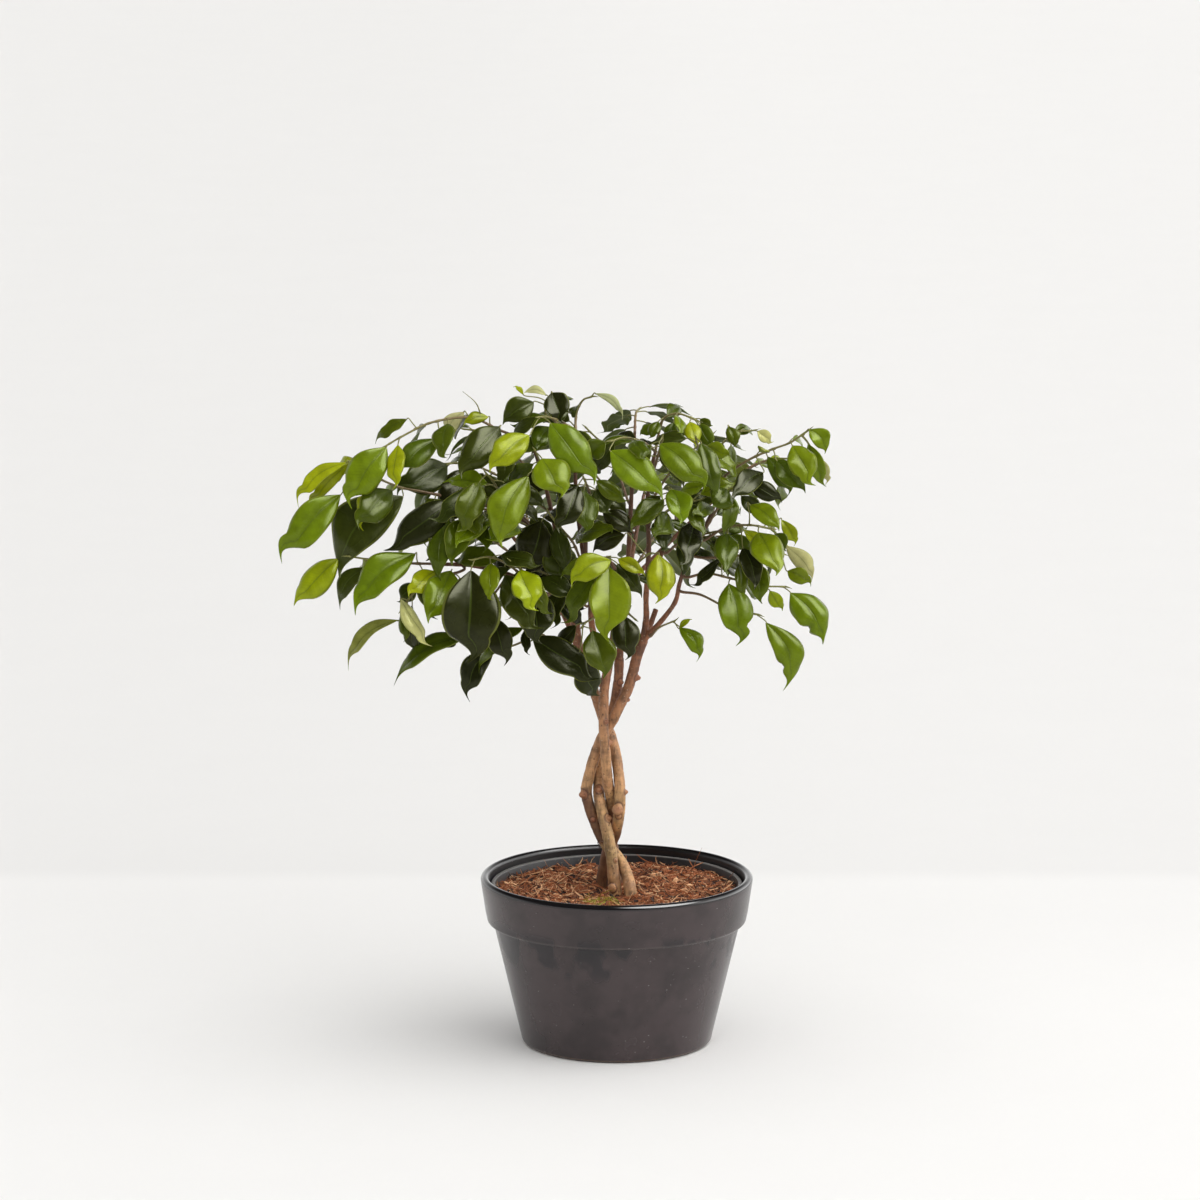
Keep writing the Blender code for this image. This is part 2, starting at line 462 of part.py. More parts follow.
def grow_pot(collection, cutters):
    rim = grow_radius(GROW_TOP)
    outer = [(grow_radius(z), z) for z in GROW_LEVELS] + [(rim, GROW_TOP - GROW_WALL)]
    inner = [(r - GROW_WALL, z) for r, z in outer]
    base = grow_radius(GROW_LEVELS[0]) - GROW_CORNER
    top_inner = rim - GROW_WALL
    profile = [(0, GROW_BOTTOM + GROW_FLOOR), (base - GROW_WALL, GROW_BOTTOM + GROW_FLOOR), *inner[:-1],
               (top_inner, GROW_TOP - GROW_WALL), (top_inner + GROW_WALL / 2, GROW_TOP),
               (rim + GROW_FLANGE, GROW_TOP), (rim + GROW_FLANGE, GROW_TOP - GROW_WALL),
               *reversed(outer), (base, GROW_BOTTOM), (0, GROW_BOTTOM)]
    pot = turned("grow_pot", profile, GROW_STEPS, collection)
    for i in range(DRAIN_HOLES):
        turn = math.tau * (i + DRAIN_TURN) / DRAIN_HOLES
        bpy.ops.mesh.primitive_cylinder_add(
            vertices=DRAIN_SIDES, radius=DRAIN_RADIUS, depth=DRAIN_DEPTH,
            location=(DRAIN_CIRCLE * math.cos(turn), DRAIN_CIRCLE * math.sin(turn), GROW_BOTTOM))
        drill = bpy.context.object
        drill.name = f"drain_cutter_{i + 1}"
        for owner in list(drill.users_collection):
            owner.objects.unlink(drill)
        cutters.objects.link(drill)
        drill.hide_render = True
        drill.display_type = "WIRE"
        hole = pot.modifiers.new(f"drain_{i + 1}", "BOOLEAN")
        hole.operation = "DIFFERENCE"
        hole.solver = "EXACT"
        hole.object = drill
    return finish(pot, "plastic")


def soil_lift(x, y):
    """How far the uneven soil stands above its mean level: fine bumps and a slight heap at the back."""
    bumps = noise.noise(Vector((x, y, 0)) / SOIL_BUMP) * SOIL_ROUGH
    away = math.dist((x, y), HEAP_PLACE) / HEAP_SPREAD
    return bumps + HEAP_HEIGHT * math.exp(-away ** 2)


def soil(lines, cutters, collection):
    top = POT_HEIGHT - SOIL_DROP
    wall = [(grow_radius(z) - GROW_WALL - GAP, z) for z in (top, *reversed(GROW_LEVELS))]
    reach = wall[0][0]
    rings = [(reach * i / SOIL_RINGS, top) for i in range(SOIL_RINGS)]
    bottom = GROW_BOTTOM + GROW_FLOOR + GAP
    base = grow_radius(GROW_LEVELS[0]) - GROW_CORNER - GROW_WALL - 2 * GAP
    lathe = turned("soil_blank", rings + wall + [(base, bottom), (0, bottom)], GROW_STEPS, collection)
    mesh = evaluated_mesh(lathe, "soil")
    drop(lathe)
    for vertex in mesh.vertices:
        if vertex.co.z > top - GAP:
            fade = min(1, (reach - vertex.co.xy.length) / SOIL_EDGE)
            vertex.co.z += soil_lift(vertex.co.x, vertex.co.y) * (0.3 + 0.7 * fade)
    thing = add_object("soil", mesh, collection)
    sockets = []
    for name, (route, radii) in lines.items():
        sunk = [p for p in route[::STRAND_SKIP] if p.z < POT_HEIGHT]
        sunk[0] = sunk[0] - UP * 2 * GAP
        sockets.append(tube(name + "_socket", sunk, [radii[0] + 2 * GAP] * len(sunk), 2, cutters))
    return finish(combine(thing, sockets, "DIFFERENCE"), "soil", smooth=False)


# ---------------------------------------------------------------- strands and branches

def strand_lines():
    """Middle lines and radii of the braided strands, eased apart where they would press together."""
    names = list(STRANDS)
    lines = [np.array(smooth_route([Vector(p) * MM for p in STRANDS[n][2]], STRAND_SPANS)) for n in names]
    radii = [np.array(taper(len(line), *STRANDS[n][:2])) * MM for n, line in zip(names, lines)]
    shifts = [np.zeros_like(line) for line in lines]
    for _ in range(EASE_ROUNDS):
        for i, j in itertools.combinations(range(len(names)), 2):
            one, other = lines[i] + shifts[i], lines[j] + shifts[j]
            apart = one[:, None] - other[None]
            far = np.linalg.norm(apart, axis=2)
            short = radii[i][:, None] + radii[j][None] + BRAID_GAP - far
            push = apart / far[..., None] * np.maximum(short, 0)[..., None] * [0.5, 0.5, 0]
            shifts[i] += strongest(push, 1)
            shifts[j] -= strongest(push, 0)
        for shift in shifts:
            shift[1:-1] = 0.5 * shift[1:-1] + 0.25 * (shift[:-2] + shift[2:])
    return {n: ([Vector(p) for p in line + shift], [float(r) for r in thick])
            for n, line, shift, thick in zip(names, lines, shifts, radii)}


def strongest(push, axis):
    """The longest push along one axis of a table of pushes."""
    pick = np.linalg.norm(push, axis=2).argmax(axis=axis)
    rows = np.arange(len(pick))
    return push[rows, pick] if axis == 1 else push[pick, rows]


def branch_route(name):
    _, foot, end, points = BRANCHES[name]
    route = [Vector(p) * MM for p in points]
    return route, [r * MM for r in taper(len(route), foot, end)]


def at(route, radii, share):
    """Point, direction and radius at a share of a route's length."""
    spans = [(b - a).length for a, b in zip(route, route[1:])]
    left = share * sum(spans)
    for i, span in enumerate(spans):
        if left <= span or i == len(spans) - 1:
            t = min(1, left / span)
            point = route[i].lerp(route[i + 1], t)
            return point, (route[i + 1] - route[i]).normalized(), radii[i] + (radii[i + 1] - radii[i]) * t
        left -= span


def stem(name, line, collection):
    route, radii = line
    keep = slice(None, None, STRAND_SKIP)
    trunk = tube(name, route[keep], radii[keep], 2, collection)
    arms = []
    for branch, row in BRANCHES.items():
        if row[0] == name:
            line, thick = branch_route(branch)
            arms.append(tube(branch, line, thick, 1, collection))
    return finish(combine(trunk, arms, "UNION"), "bark")


# ---------------------------------------------------------------- leaves

def leaf_sections(foot, base, tip, normal, width, bow, thick):
    """Three-cornered sections, edge, keel and edge, from the stalk's foot to near the tip; then the tip.

    The blade's base is mitred to its stalk, and the stalk's own section is turned on from there without a
    twist, so a blade can hang back under its stalk.
    """
    chord = tip - base
    length = chord.length
    along = chord / length
    face = (normal - normal.dot(along) * along).normalized()
    side = along.cross(face)
    stalk = (base - foot).normalized()
    mitre = (along + stalk).normalized()
    base_side = mitre.cross(face).normalized()
    base_face = base_side.cross(mitre)
    bend = mitre.rotation_difference(stalk)
    across, back = bend @ base_side, bend @ base_face
    r = STALK_RADIUS * thick
    foot = foot - stalk * STALK_ROOT
    sections = [[foot - across * r + back * r / 2, foot - back * r, foot + across * r + back * r / 2]]
    for share, spread in LEAF_STATIONS:
        swell = length * math.sin(math.pi * share)
        middle = base + along * (share * length) + face * (LEAF_ARCH * swell) + side * (bow * swell)
        half = max(width / 2 * spread, r)
        lift = (face if share else base_face) * (LEAF_THICK / 2 * thick)
        edge = (side if share else base_side) * half
        sections.append([middle - edge + lift, middle - lift, middle + edge + lift])
    return sections, tip


def leaf_mesh(sections, tip, start=0):
    """Vertices and faces of one leaf, closed at its stalk's foot and at its tip."""
    rings = sections[start:]
    points = [*itertools.chain(*rings), tip]
    faces = [(0, 1, 2)]
    for i in range(len(rings) - 1):
        for k in range(3):
            a, b = 3 * i + k, 3 * i + (k + 1) % 3
            faces.append((a, a + 3, b + 3, b))
    last = 3 * (len(rings) - 1)
    faces += [(last + k, len(points) - 1, last + (k + 1) % 3) for k in range(3)]
    return points, faces


def turn_about(vector, axis, degrees):
    return Matrix.Rotation(math.radians(degrees), 3, axis) @ vector


def jitter(rng, amount):
    return Vector((rng.uniform(-amount, amount), rng.uniform(-amount, amount), rng.uniform(-amount, amount)))


def stray(rng, amount):
    """A shift that is mostly in depth, front to back."""
    return Vector(share * step for share, step in zip(STRAY, jitter(rng, amount)))


def leading_leaf(name, index, twig, attempt):
    """A leaf whose tip is set in the table; later attempts stray a little from it."""
    share, tip, width, turn, *more = SHOOTS[name][5][index]
    rng = random.Random(f"{name} leading {index} {attempt}")
    foot, _, _ = at(*twig, min(share, 0.985))
    end = Vector(tip) * MM + stray(rng, 0.8 * MM * attempt)
    normal = Vector((0.1, -1, 0.4)) + jitter(rng, 0.02 * attempt)
    axis = (end - foot).normalized()
    bow, base = (more[0], Vector(more[1]) * MM + stray(rng, 0.4 * MM * attempt)) if more else (0, None)
    return foot, base or leaf_base(foot, end), end, turn_about(normal, axis, turn), width * MM, bow


def filler_leaf(name, index, twig, attempt):
    """A leaf placed by rule: sides alternate along the twig, and the blade droops and faces the light."""
    _, _, _, count, length, leading = SHOOTS[name]
    rng = random.Random(f"{name} filler {index} {attempt}")
    foot, along, _ = at(*twig, 0.1 + 0.88 * (index + rng.uniform(0.2, 0.8)) / count)
    side = along.cross(UP).normalized() * (1 if index % 2 else -1)
    outward = Vector((foot.x, foot.y, 0)).normalized()
    push = Vector((0, 0.5, 0)) if leading else outward * 0.3
    stray = 0.25 + 0.03 * attempt
    reach = side + along * rng.uniform(0.1, 0.9) + push - UP * rng.uniform(0.2, 1.1) + jitter(rng, stray)
    size = length * MM * rng.uniform(0.72, 1.12)
    end = foot + reach.normalized() * (size + STALK_LENGTH)
    light = Vector((0.2, -0.9, 0.5)) * max(0, min(1, 0.8 - foot.y / (80 * MM)))
    normal = outward * 0.7 + light + UP * 0.7 + jitter(rng, 0.35)
    return foot, leaf_base(foot, end), end, normal, size * LEAF_SHAPE * rng.uniform(0.88, 1.15), 0


def leaf_base(foot, end, length=STALK_LENGTH):
    reach = (end - foot).normalized() + UP * STALK_LIFT
    return foot + reach.normalized() * min(length, 0.3 * (end - foot).length)


# ---------------------------------------------------------------- placing without overlap

class Placed:
    """Solids set so far, each with its box and search tree, so that a new piece can be tested."""

    def __init__(self):
        self.rows = []

    def add(self, owner, points, faces, skip_own=False):
        tree = BVHTree.FromPolygons(points, faces)
        self.rows.append((owner, skip_own, box_of(points), tree))

    def add_object(self, thing):
        mesh = thing.data
        points = [v.co.copy() for v in mesh.vertices]
        self.add(thing.name, points, [tuple(p.vertices) for p in mesh.polygons])

    def hits(self, owner, points, faces, own):
        """Whether a piece meets another owner's solids or, with own, its owner's."""
        low, high = box_of(points)
        tree = BVHTree.FromPolygons(points, faces)
        for who, skip_own, (a, b), other in self.rows:
            if (who == owner) != own or (own and skip_own):
                continue
            if any(a[k] > high[k] or b[k] < low[k] for k in range(3)):
                continue
            if tree.overlap(other):
                return True
        return False


def box_of(points):
    return ([min(p[k] for p in points) for k in range(3)], [max(p[k] for p in points) for k in range(3)])


def twig_route(name, attempt):
    """Route and radii of a shoot's twig, standing off its branch by the gap."""
    branch, share, points = SHOOTS[name][:3]
    line, thick = branch_route(branch)
    start, along, radius = at(line, thick, share)
    rng = random.Random(f"{name} twig {attempt}")
    points = [Vector(p) * MM + jitter(rng, 0.35 * MM * attempt) for p in points]
    if share == 1.0:
        out = along
        foot = start + out * GAP * 1.2
    else:
        reach = (points[0] - start).normalized()
        reach = turn_about(reach, along, rng.uniform(-1, 1) * 2 * attempt)
        out = (reach - reach.dot(along) * along).normalized()
        foot = start + out * (radius + GAP * 1.2)
    route = [foot, foot + out * STAND_OFF, *points]
    return route, taper(len(route), min(TWIG_RADII[0], radius), TWIG_RADII[1])


def place_twigs(placed, collection):
    twigs = {}
    for name in SHOOTS:
        for attempt in range(TWIG_TRIES):
            route, radii = twig_route(name, attempt)
            trial = tube("trial", route[1:], [r + CLEAR for r in radii[1:]], 0, collection)
            mesh = trial.data
            points = [v.co.copy() for v in mesh.vertices]
            hit = placed.hits(name, points, [tuple(p.vertices) for p in mesh.polygons], False)
            drop(trial)
            if not hit:
                break
        else:
            raise RuntimeError(f"no free route for {name}")
        twig = tube(name, route, radii, 0, collection)
        placed.add_object(twig)
        twigs[name] = (twig, (route, radii))
    return twigs


def place_leaf(placed, name, index, route, rule):
    """The first attempt that clears everything, as a solid's points and faces; None if none does."""
    for attempt in range(LEAF_TRIES):
        foot, base, end, normal, width, bow = rule(name, index, route, attempt)
        wide, tip = leaf_sections(foot, base, end, normal, width + 2 * CLEAR, bow, 1 + 2 * CLEAR / LEAF_THICK)
        if placed.hits(name, *leaf_mesh(wide, tip + (end - base).normalized() * CLEAR), False):
            continue
        true, tip = leaf_sections(foot, base, end, normal, width, bow, 1)
        blade = leaf_mesh(true, tip, 1)
        if placed.hits(name, *blade, True):
            continue
        placed.add(name, *blade)
        placed.add(name, *leaf_mesh(true, tip), skip_own=True)
        return leaf_mesh(true, tip)
    return None


def leafy_shoots(placed, collection):
    twigs = place_twigs(placed, collection)
    leaves = {name: [] for name in SHOOTS}
    for name in SHOOTS:
        for index in range(len(SHOOTS[name][5])):
            leaves[name].append(place_leaf(placed, name, index, twigs[name][1], leading_leaf))
    for name in SHOOTS:
        for index in range(SHOOTS[name][3]):
            leaves[name].append(place_leaf(placed, name, index, twigs[name][1], filler_leaf))
    for name, solids in leaves.items():
        if None in solids:
            raise RuntimeError(f"no room for a leaf of {name}")
        parts = []
        for points, faces in solids:
            mesh = bpy.data.meshes.new("leaf")
            mesh.from_pydata(points, [], faces)
            parts.append(add_object("leaf", mesh, collection))
        finish(combine(twigs[name][0], parts, "UNION"), "leaf", smooth=False)


def main():
    clear_scene()
    fig = new_collection("potted_weeping_fig")
    cutters = new_collection("cutters")
    glazed_pot(fig)
    grow_pot(fig, cutters)
    lines = strand_lines()
    soil(lines, cutters, fig)
    placed = Placed()
    for name, line in lines.items():
        placed.add_object(stem(name, line, fig))
    leafy_shoots(placed, fig)


main()
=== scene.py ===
"""Looks of a potted weeping fig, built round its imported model: four braided strands, leafy shoots,
soil, grow pot and glazed pot. Metres, +Z up; the origin is the centre of the glazed pot's underside.
Tables are in millimetres, and repeat the model's own, so that each piece lies where its solid does.
"""

import itertools
import json
import math
import random

import bmesh
import bpy
import numpy as np
from mathutils import Matrix, Vector, noise
from mathutils.kdtree import KDTree

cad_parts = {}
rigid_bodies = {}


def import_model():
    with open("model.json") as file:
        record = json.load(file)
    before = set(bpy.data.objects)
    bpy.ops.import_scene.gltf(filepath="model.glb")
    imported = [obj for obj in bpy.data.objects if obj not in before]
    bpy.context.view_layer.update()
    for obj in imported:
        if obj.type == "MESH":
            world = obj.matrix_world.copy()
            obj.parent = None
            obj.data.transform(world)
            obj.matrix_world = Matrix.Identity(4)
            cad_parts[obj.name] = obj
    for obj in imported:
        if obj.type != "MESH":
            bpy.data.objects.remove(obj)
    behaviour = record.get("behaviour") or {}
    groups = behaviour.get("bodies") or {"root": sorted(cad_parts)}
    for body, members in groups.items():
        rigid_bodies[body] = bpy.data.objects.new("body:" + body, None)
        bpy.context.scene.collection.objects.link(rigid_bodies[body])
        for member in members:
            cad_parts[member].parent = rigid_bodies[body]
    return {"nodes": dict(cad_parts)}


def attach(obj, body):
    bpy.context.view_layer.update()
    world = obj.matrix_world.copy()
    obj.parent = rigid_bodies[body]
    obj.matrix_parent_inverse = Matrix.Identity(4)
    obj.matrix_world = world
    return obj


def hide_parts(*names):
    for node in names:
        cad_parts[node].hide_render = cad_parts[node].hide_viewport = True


bl_info = {
    "name": "Potted weeping fig",
    "version": (1, 0, 0),
    "blender": (4, 5, 0),
    "location": "View3D > Sidebar > Weeping fig",
    "description": "Builds the looks of a potted weeping fig round its packed model",
    "category": "Add Mesh",
}

for thing in list(bpy.data.objects):
    bpy.data.objects.remove(thing, do_unlink=True)
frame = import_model()

MM = 0.001
GAP = 0.3 * MM
UP = Vector((0, 0, 1))
BODY = "root"

# Glazed pot
POT_HEIGHT = 135.1 * MM
RIM_RADIUS = 108 * MM
LIP = 6.8 * MM
COLLAR_HEIGHT = 36.9 * MM
COLLAR_TAPER = 5 * MM
COLLAR_ROUND = 2.5 * MM
BODY_TOP_RADIUS = 98.2 * MM
FOOT_RADIUS = 74.8 * MM
FOOT_ROUND = 4.5 * MM
POT_WALL = 6.5 * MM
POT_FLOOR = 7 * MM
FLOOR_ROUND = 6 * MM
SHOULDER = POT_HEIGHT - COLLAR_HEIGHT
WALL_STEP = (SHOULDER - 2 * MM, SHOULDER + 6 * MM)
POT_SIDES = 160
LIP_GLAZE = (POT_HEIGHT - 5 * MM, POT_HEIGHT - 2.5 * MM)  # between these heights the glossy glaze starts
SMEAR_FOOT = (64 * MM, 80 * MM)  # between these heights the smears on the wall start
SMEAR_HEAD = (110 * MM, 99 * MM)  # and between these they stop
WIPED_LEFT = (30 * MM, -15 * MM)  # the smears are more at the left
WIPED_FRONT = (-20 * MM, -50 * MM)  # and at the front

# Plastic grow pot
GROW_WALL = 1.3 * MM
GROW_CLEAR = 1.5 * MM
GROW_RIM_DROP = 6.7 * MM
GROW_FLANGE = 2.2 * MM
GROW_FLOOR = 1.6 * MM
GROW_CORNER = 5 * MM
GROW_BOTTOM = POT_FLOOR + GAP
GROW_TOP = POT_HEIGHT - GROW_RIM_DROP
GROW_LEVELS = (GROW_BOTTOM + 6 * MM, SHOULDER - 2 * MM, SHOULDER + 5 * MM)
GROW_SIDES = 140
DRAIN_HOLES = 5
DRAIN_RADIUS = 5 * MM
DRAIN_CIRCLE = 42 * MM
DRAIN_TURN = 0.37
DRAIN_DEPTH = 20 * MM
DRAIN_SIDES = 24

# Soil
SOIL_DROP = 13.9 * MM
SOIL_ROUGH = 2.2 * MM
SOIL_BUMP = 16 * MM
SOIL_EDGE = 10 * MM
HEAP_PLACE = (30 * MM, 45 * MM)
HEAP_HEIGHT = 2 * MM
HEAP_SPREAD = 35 * MM
SOIL_TOP = POT_HEIGHT - SOIL_DROP
SOIL_SIDES = 150
SOIL_RINGS = 46
CRUMBLE_HEIGHT, CLOD_HEIGHT = 1.5, 3.2  # mm, of fine and coarse lumps on its top
CRUMB_LEAST, CRUMB_SPREAD = 0.3, 2.4  # mm, the least size and the range above it
CRUMB_SHADES = (0.05, 0.25, 0.5, 0.65)
FIBRE_COARSE = 0.3  # share of the fibres that are coarse
FIBRE_RISING = 0.22  # share of the fibres that stand up at one end
FIBRE_LEAST, FIBRE_SPREAD = (3, 7), 15  # mm, the least length of a fine and a coarse one, and the range
FIBRE_RADII = ((0.16, 0.4), (0.38, 0.62))  # mm, of a fine and a coarse one
FIBRE_SHADES = (0.15, 0.35, 0.5, 0.6, 0.8, 1.05)
FIBRE_POINTS = 6
CHIP_LENGTH, CHIP_WIDTH = (3, 11), (0.7, 2.1)  # mm
CHIP_THICKNESS = 0.56 * MM
CHIP_OUTLINE = ((-1, -0.5), (-0.6, -1), (0.7, -0.9), (1, 0.1), (0.5, 1), (-0.8, 0.7))
MOSS_PLACE = (-11 * MM, -39 * MM)
MOSS_SIZE = (13 * MM, 9 * MM)
# Long fibres and rootlets that stand up out of the soil, as (shade, radius, points)
SPRIGS = ((0.5, 0.22, ((61, 18, 136), (64, 14, 145), (68, 12, 154))),
          (0.75, 0.2, ((-52, 10, 135), (-55, 6, 140), (-58, 4, 147))),
          (0.4, 0.2, ((-45, 14, 132), (-48, 12, 139), (-47, 10, 143))),
          (-0.1, 0.5, ((-12, -14, 158), (-14, -15, 162), (-15, -16, 165), (-13, -16, 167))))

# Leaves: how the blade's edge runs, as (place along, width there as a share of the greatest in an
# egg-shaped leaf, the same in a rounder one)
OUTLINE = ((0, 0.05, 0.05), (0.025, 0.16, 0.14), (0.07, 0.36, 0.31), (0.14, 0.62, 0.55), (0.23, 0.86, 0.79),
           (0.33, 0.98, 0.94), (0.43, 1.0, 1.0), (0.53, 0.95, 0.98), (0.62, 0.83, 0.89), (0.71, 0.64, 0.71),
           (0.785, 0.44, 0.49), (0.845, 0.26, 0.29), (0.895, 0.14, 0.15), (0.94, 0.075, 0.08),
           (0.975, 0.045, 0.045))
# Bites out of a blade's edge, as (place along, spread, depth, side)
BITES = {("shoot_low_end", 0): (0.66, 0.07, 0.5, 1), ("shoot_low_outer", 1): (0.64, 0.06, 0.42, 1),
         ("shoot_low_outer", 0): (0.7, 0.08, 0.25, -1)}
# Bare young twigs, as points from the foot
SPARE_TWIGS = {"shoot_top_left": (((-106, -24, 508), (-110, -26, 518), (-120, -28, 527)),)}
COLUMNS = (-1, -0.82, -0.52, -0.22, 0, 0.22, 0.52, 0.82, 1)  # places across the blade, edge to edge
STALK_SIDES = 6
STALK_RADIUS = 0.5 * MM
STALK_LENGTH = 9 * MM
STALK_LIFT = 0.35
STRAY = (0.35, 1.6, 0.35)
LEAF_ARCH = 0.09
# How blades vary, from least to most; distances are shares of the blade's own length or width
ROUNDNESS = (0.15, 1.0)  # from the egg-shaped outline to the rounder one
SLIMNESS = (0.94, 1.03)
BEND = 0.09  # to either side, where the shoot doesn't say
TIP_FROM, TIP_SPAN = 0.7, 0.3  # where the tip starts along the blade, and its length
TIP_HOOK = (0.04, 0.13)
TIP_DROOP = 0.06
FOLDS = (0.8, 1.9)  # of the fold that is set
CURL = (0.35, 1.2)  # of the fold
WAVES = (1.0, 2.6)  # along the edge
RIPPLE = (0.05, 0.24)
UNEVEN = 0.05  # one half wider than the other
TWIST = 28  # degrees from base to tip, either way round
THIN_TIP = 0.35 * MM
RIB_DEPTH = 0.28 * MM  # how far the midrib stands out below
BUD_LENGTH = 2.6  # mm
BUD_RADII = (0.8, 0.65, 0.12)  # mm
SPIKE_RADII = (0.75, 0.8, 0.85, 0.75, 0.55, 0.32, 0.1)  # mm, of the bud at a shoot's end
LEAF_SHAPE = 0.46
LEAF_TRIES = 60
TWIG_TRIES = 60
TWIG_SIDES = 8
TWIG_RADII = (1.25 * MM, 0.7 * MM)
STAND_OFF = 3 * MM
FOUND = 0.02 * MM  # a rebuilt corner this close to one of the model's is the same corner

# Strands
STRAND_SPANS = 4
BRAID_GAP = 0.9 * MM
EASE_ROUNDS = 80
SKIN = 0.2 * MM  # added to a strand, so that the braid closes up
CLEFT = 2.2 * MM  # nearer than this to another strand the bark gets painted shade
FLARE = 0.08  # how much wider a strand is where it enters the soil
FLARE_HEIGHT = 7 * MM
STRAND_SWELL = 0.05  # how much wider a stem is at its old leaf joints
BRANCH_SWELL = 0.10
LIMB_SPACING = 1.4 * MM
JOINTS_APART = (11, 24)  # mm
JOINT_LENGTH = 1.7 * MM
STRAND_SIDES = 18
BRANCH_SIDES = 12
BRANCH_SPANS = 8
STUB_SIDES = 16
AGE_FADE = (175 * MM, 330 * MM)  # between these heights old bark turns to young
GREEN_FADE = (250 * MM, 140 * MM)  # green patches are below these
CROWN_SHADE_FADE = (340 * MM, 420 * MM)  # and above these the bark in the crown gets painted shade, darker where the leaves shade it
SMOOTH_FROM, SMOOTH_OVER = 310 * MM, 60 * MM  # the height where the bark gets smoother, and over how far
KNOB_RISE, KNOB_FLAT, KNOB_SHARE = 0.15, 0.85, 0.82  # how far out a knob sits, and its height and size
SWIRL_HEIGHT = 0.16  # mm, of the rings on a scar
RIM_PLACE, RIM_WIDTH, RIM_DEPTH = 1.3, 0.18, 0.4  # a scar's groove: the first two in its own sizes, then mm

# The strands, soil to crown: radius at foot and top, then points along the middle.
STRANDS = {
    "stem_a": (4.7, 3.6, (
        (-12, 19, 86), (-12, 17, 122), (-10, 13, 136), (-7, 8, 154), (-2, 2, 168), (1, -6, 184),
        (2, -8, 200), (1, -5, 216), (-1, 0, 232), (-5, 6, 247), (-11, 10, 262), (-17, 9, 280),
        (-24, 5, 300), (-30, 3, 317), (-33, 0, 340), (-36, -3, 360))),
    "stem_b": (4.7, 3.9, (
        (14, -25, 86), (11, -21, 121), (8, -15, 135), (1, -4, 149), (-8, 1, 160), (-15, 3, 174),
        (-20, 1, 188), (-23.5, 0, 202), (-22, 0, 212), (-18, 0, 228), (-12, 0, 244), (-4, -2, 259),
        (1, -4, 270), (7, -2, 282), (12, 0, 295), (15, 0, 309), (21, 0, 325))),
    "stem_c": (4.4, 3.6, (
        (2, 9, 86), (1, 9, 115), (1, 12, 132), (-3, 19, 150), (-5, 16, 164), (-6, 8, 180),
        (-6, -1, 198), (-8, -9, 218), (-9, -12, 238), (-10.5, -13, 256), (-10.5, -12, 270),
        (-10, -8, 286), (-8, -5, 298), (-6, -4, 311))),
    "stem_d": (4.8, 3.6, (
        (1, -14, 86), (0, -13, 120), (-1, -13, 138), (-3, -11, 153), (-6, -9, 168), (-10, -5, 184),
        (-13, -1, 198), (-14, 4, 210), (-13, 8, 222), (-11, 11, 238), (-7, 13, 253), (-4, 11, 265),
        (-1, 9, 277), (1, 6, 292), (2, 4, 309))),
}

# The branches: the strand they grow from, radius at foot and end, then points; the first is in the parent.
BRANCHES = {
    "a_left": ("stem_a", 2.7, 1.5, ((-33, -1, 345), (-55, -8, 362), (-80, -15, 378), (-111, -22, 388),
                                    (-140, -30, 391))),
    "a_high": ("stem_a", 2.9, 1.5, ((-35, -2, 354), (-44, -3, 385), (-60, -6, 412), (-90, -10, 430),
                                    (-128, -12, 440))),
    "a_top": ("stem_a", 2.1, 1.4, ((-44, -3, 385), (-50, 5, 420), (-58, 0, 455), (-66, -12, 482))),
    "a_back": ("stem_a", 2.6, 1.4, ((-28, 4, 312), (-45, 30, 345), (-70, 60, 380), (-95, 90, 405))),
    "a_low": ("stem_a", 2.7, 2.4, ((-26, 5, 306), (-42, 5, 316), (-60, 0, 328))),
    "b_right": ("stem_b", 2.3, 1.5, ((21, 0, 324), (28, -4, 333), (37, -8, 344), (46, -12, 358),
                                     (49, -14, 372), (54, -17, 387), (64, -19, 408), (74, -20, 430))),
    "b_up": ("stem_b", 2.8, 1.5, ((19, 0, 320), (23, 0, 340), (23, -2, 360), (25, -5, 400),
                                  (24, -8, 440), (29, -12, 474))),
    "b_stub": ("stem_b", 2.4, 2.2, ((21, 0, 324), (27, 6, 337), (31, 8, 348))),
    "b_mid": ("stem_b", 2.1, 1.4, ((23, -2, 366), (34, 4, 390), (43, 8, 412), (58, 10, 436),
                                   (70, 8, 462))),
    "c_left": ("stem_c", 2.9, 1.4, ((-8, -5, 298), (-19, -5, 334), (-21, -7, 362), (-27, -12, 400),
                                    (-32, -14, 445), (-33, -12, 490))),
    "c_front": ("stem_c", 2.3, 1.4, ((-6, -4, 309), (-3, -11, 335), (0, -25, 362), (0, -45, 385),
                                     (-6, -60, 400))),
    "c_mid": ("stem_c", 2.0, 1.4, ((-25, -10, 388), (-24, -25, 420), (-22, -40, 448))),
    "d_up": ("stem_d", 3.0, 1.4, ((2, 4, 306), (4, 9, 335), (8, 15, 365), (10, 22, 405),
                                  (12, 25, 445), (14, 22, 485))),
    "d_back": ("stem_d", 2.5, 1.4, ((3, 8, 328), (8, 35, 362), (15, 65, 395), (22, 95, 425))),
    "d_right": ("stem_d", 2.1, 1.4, ((8, 35, 362), (40, 50, 392), (75, 55, 425), (100, 50, 450))),
}

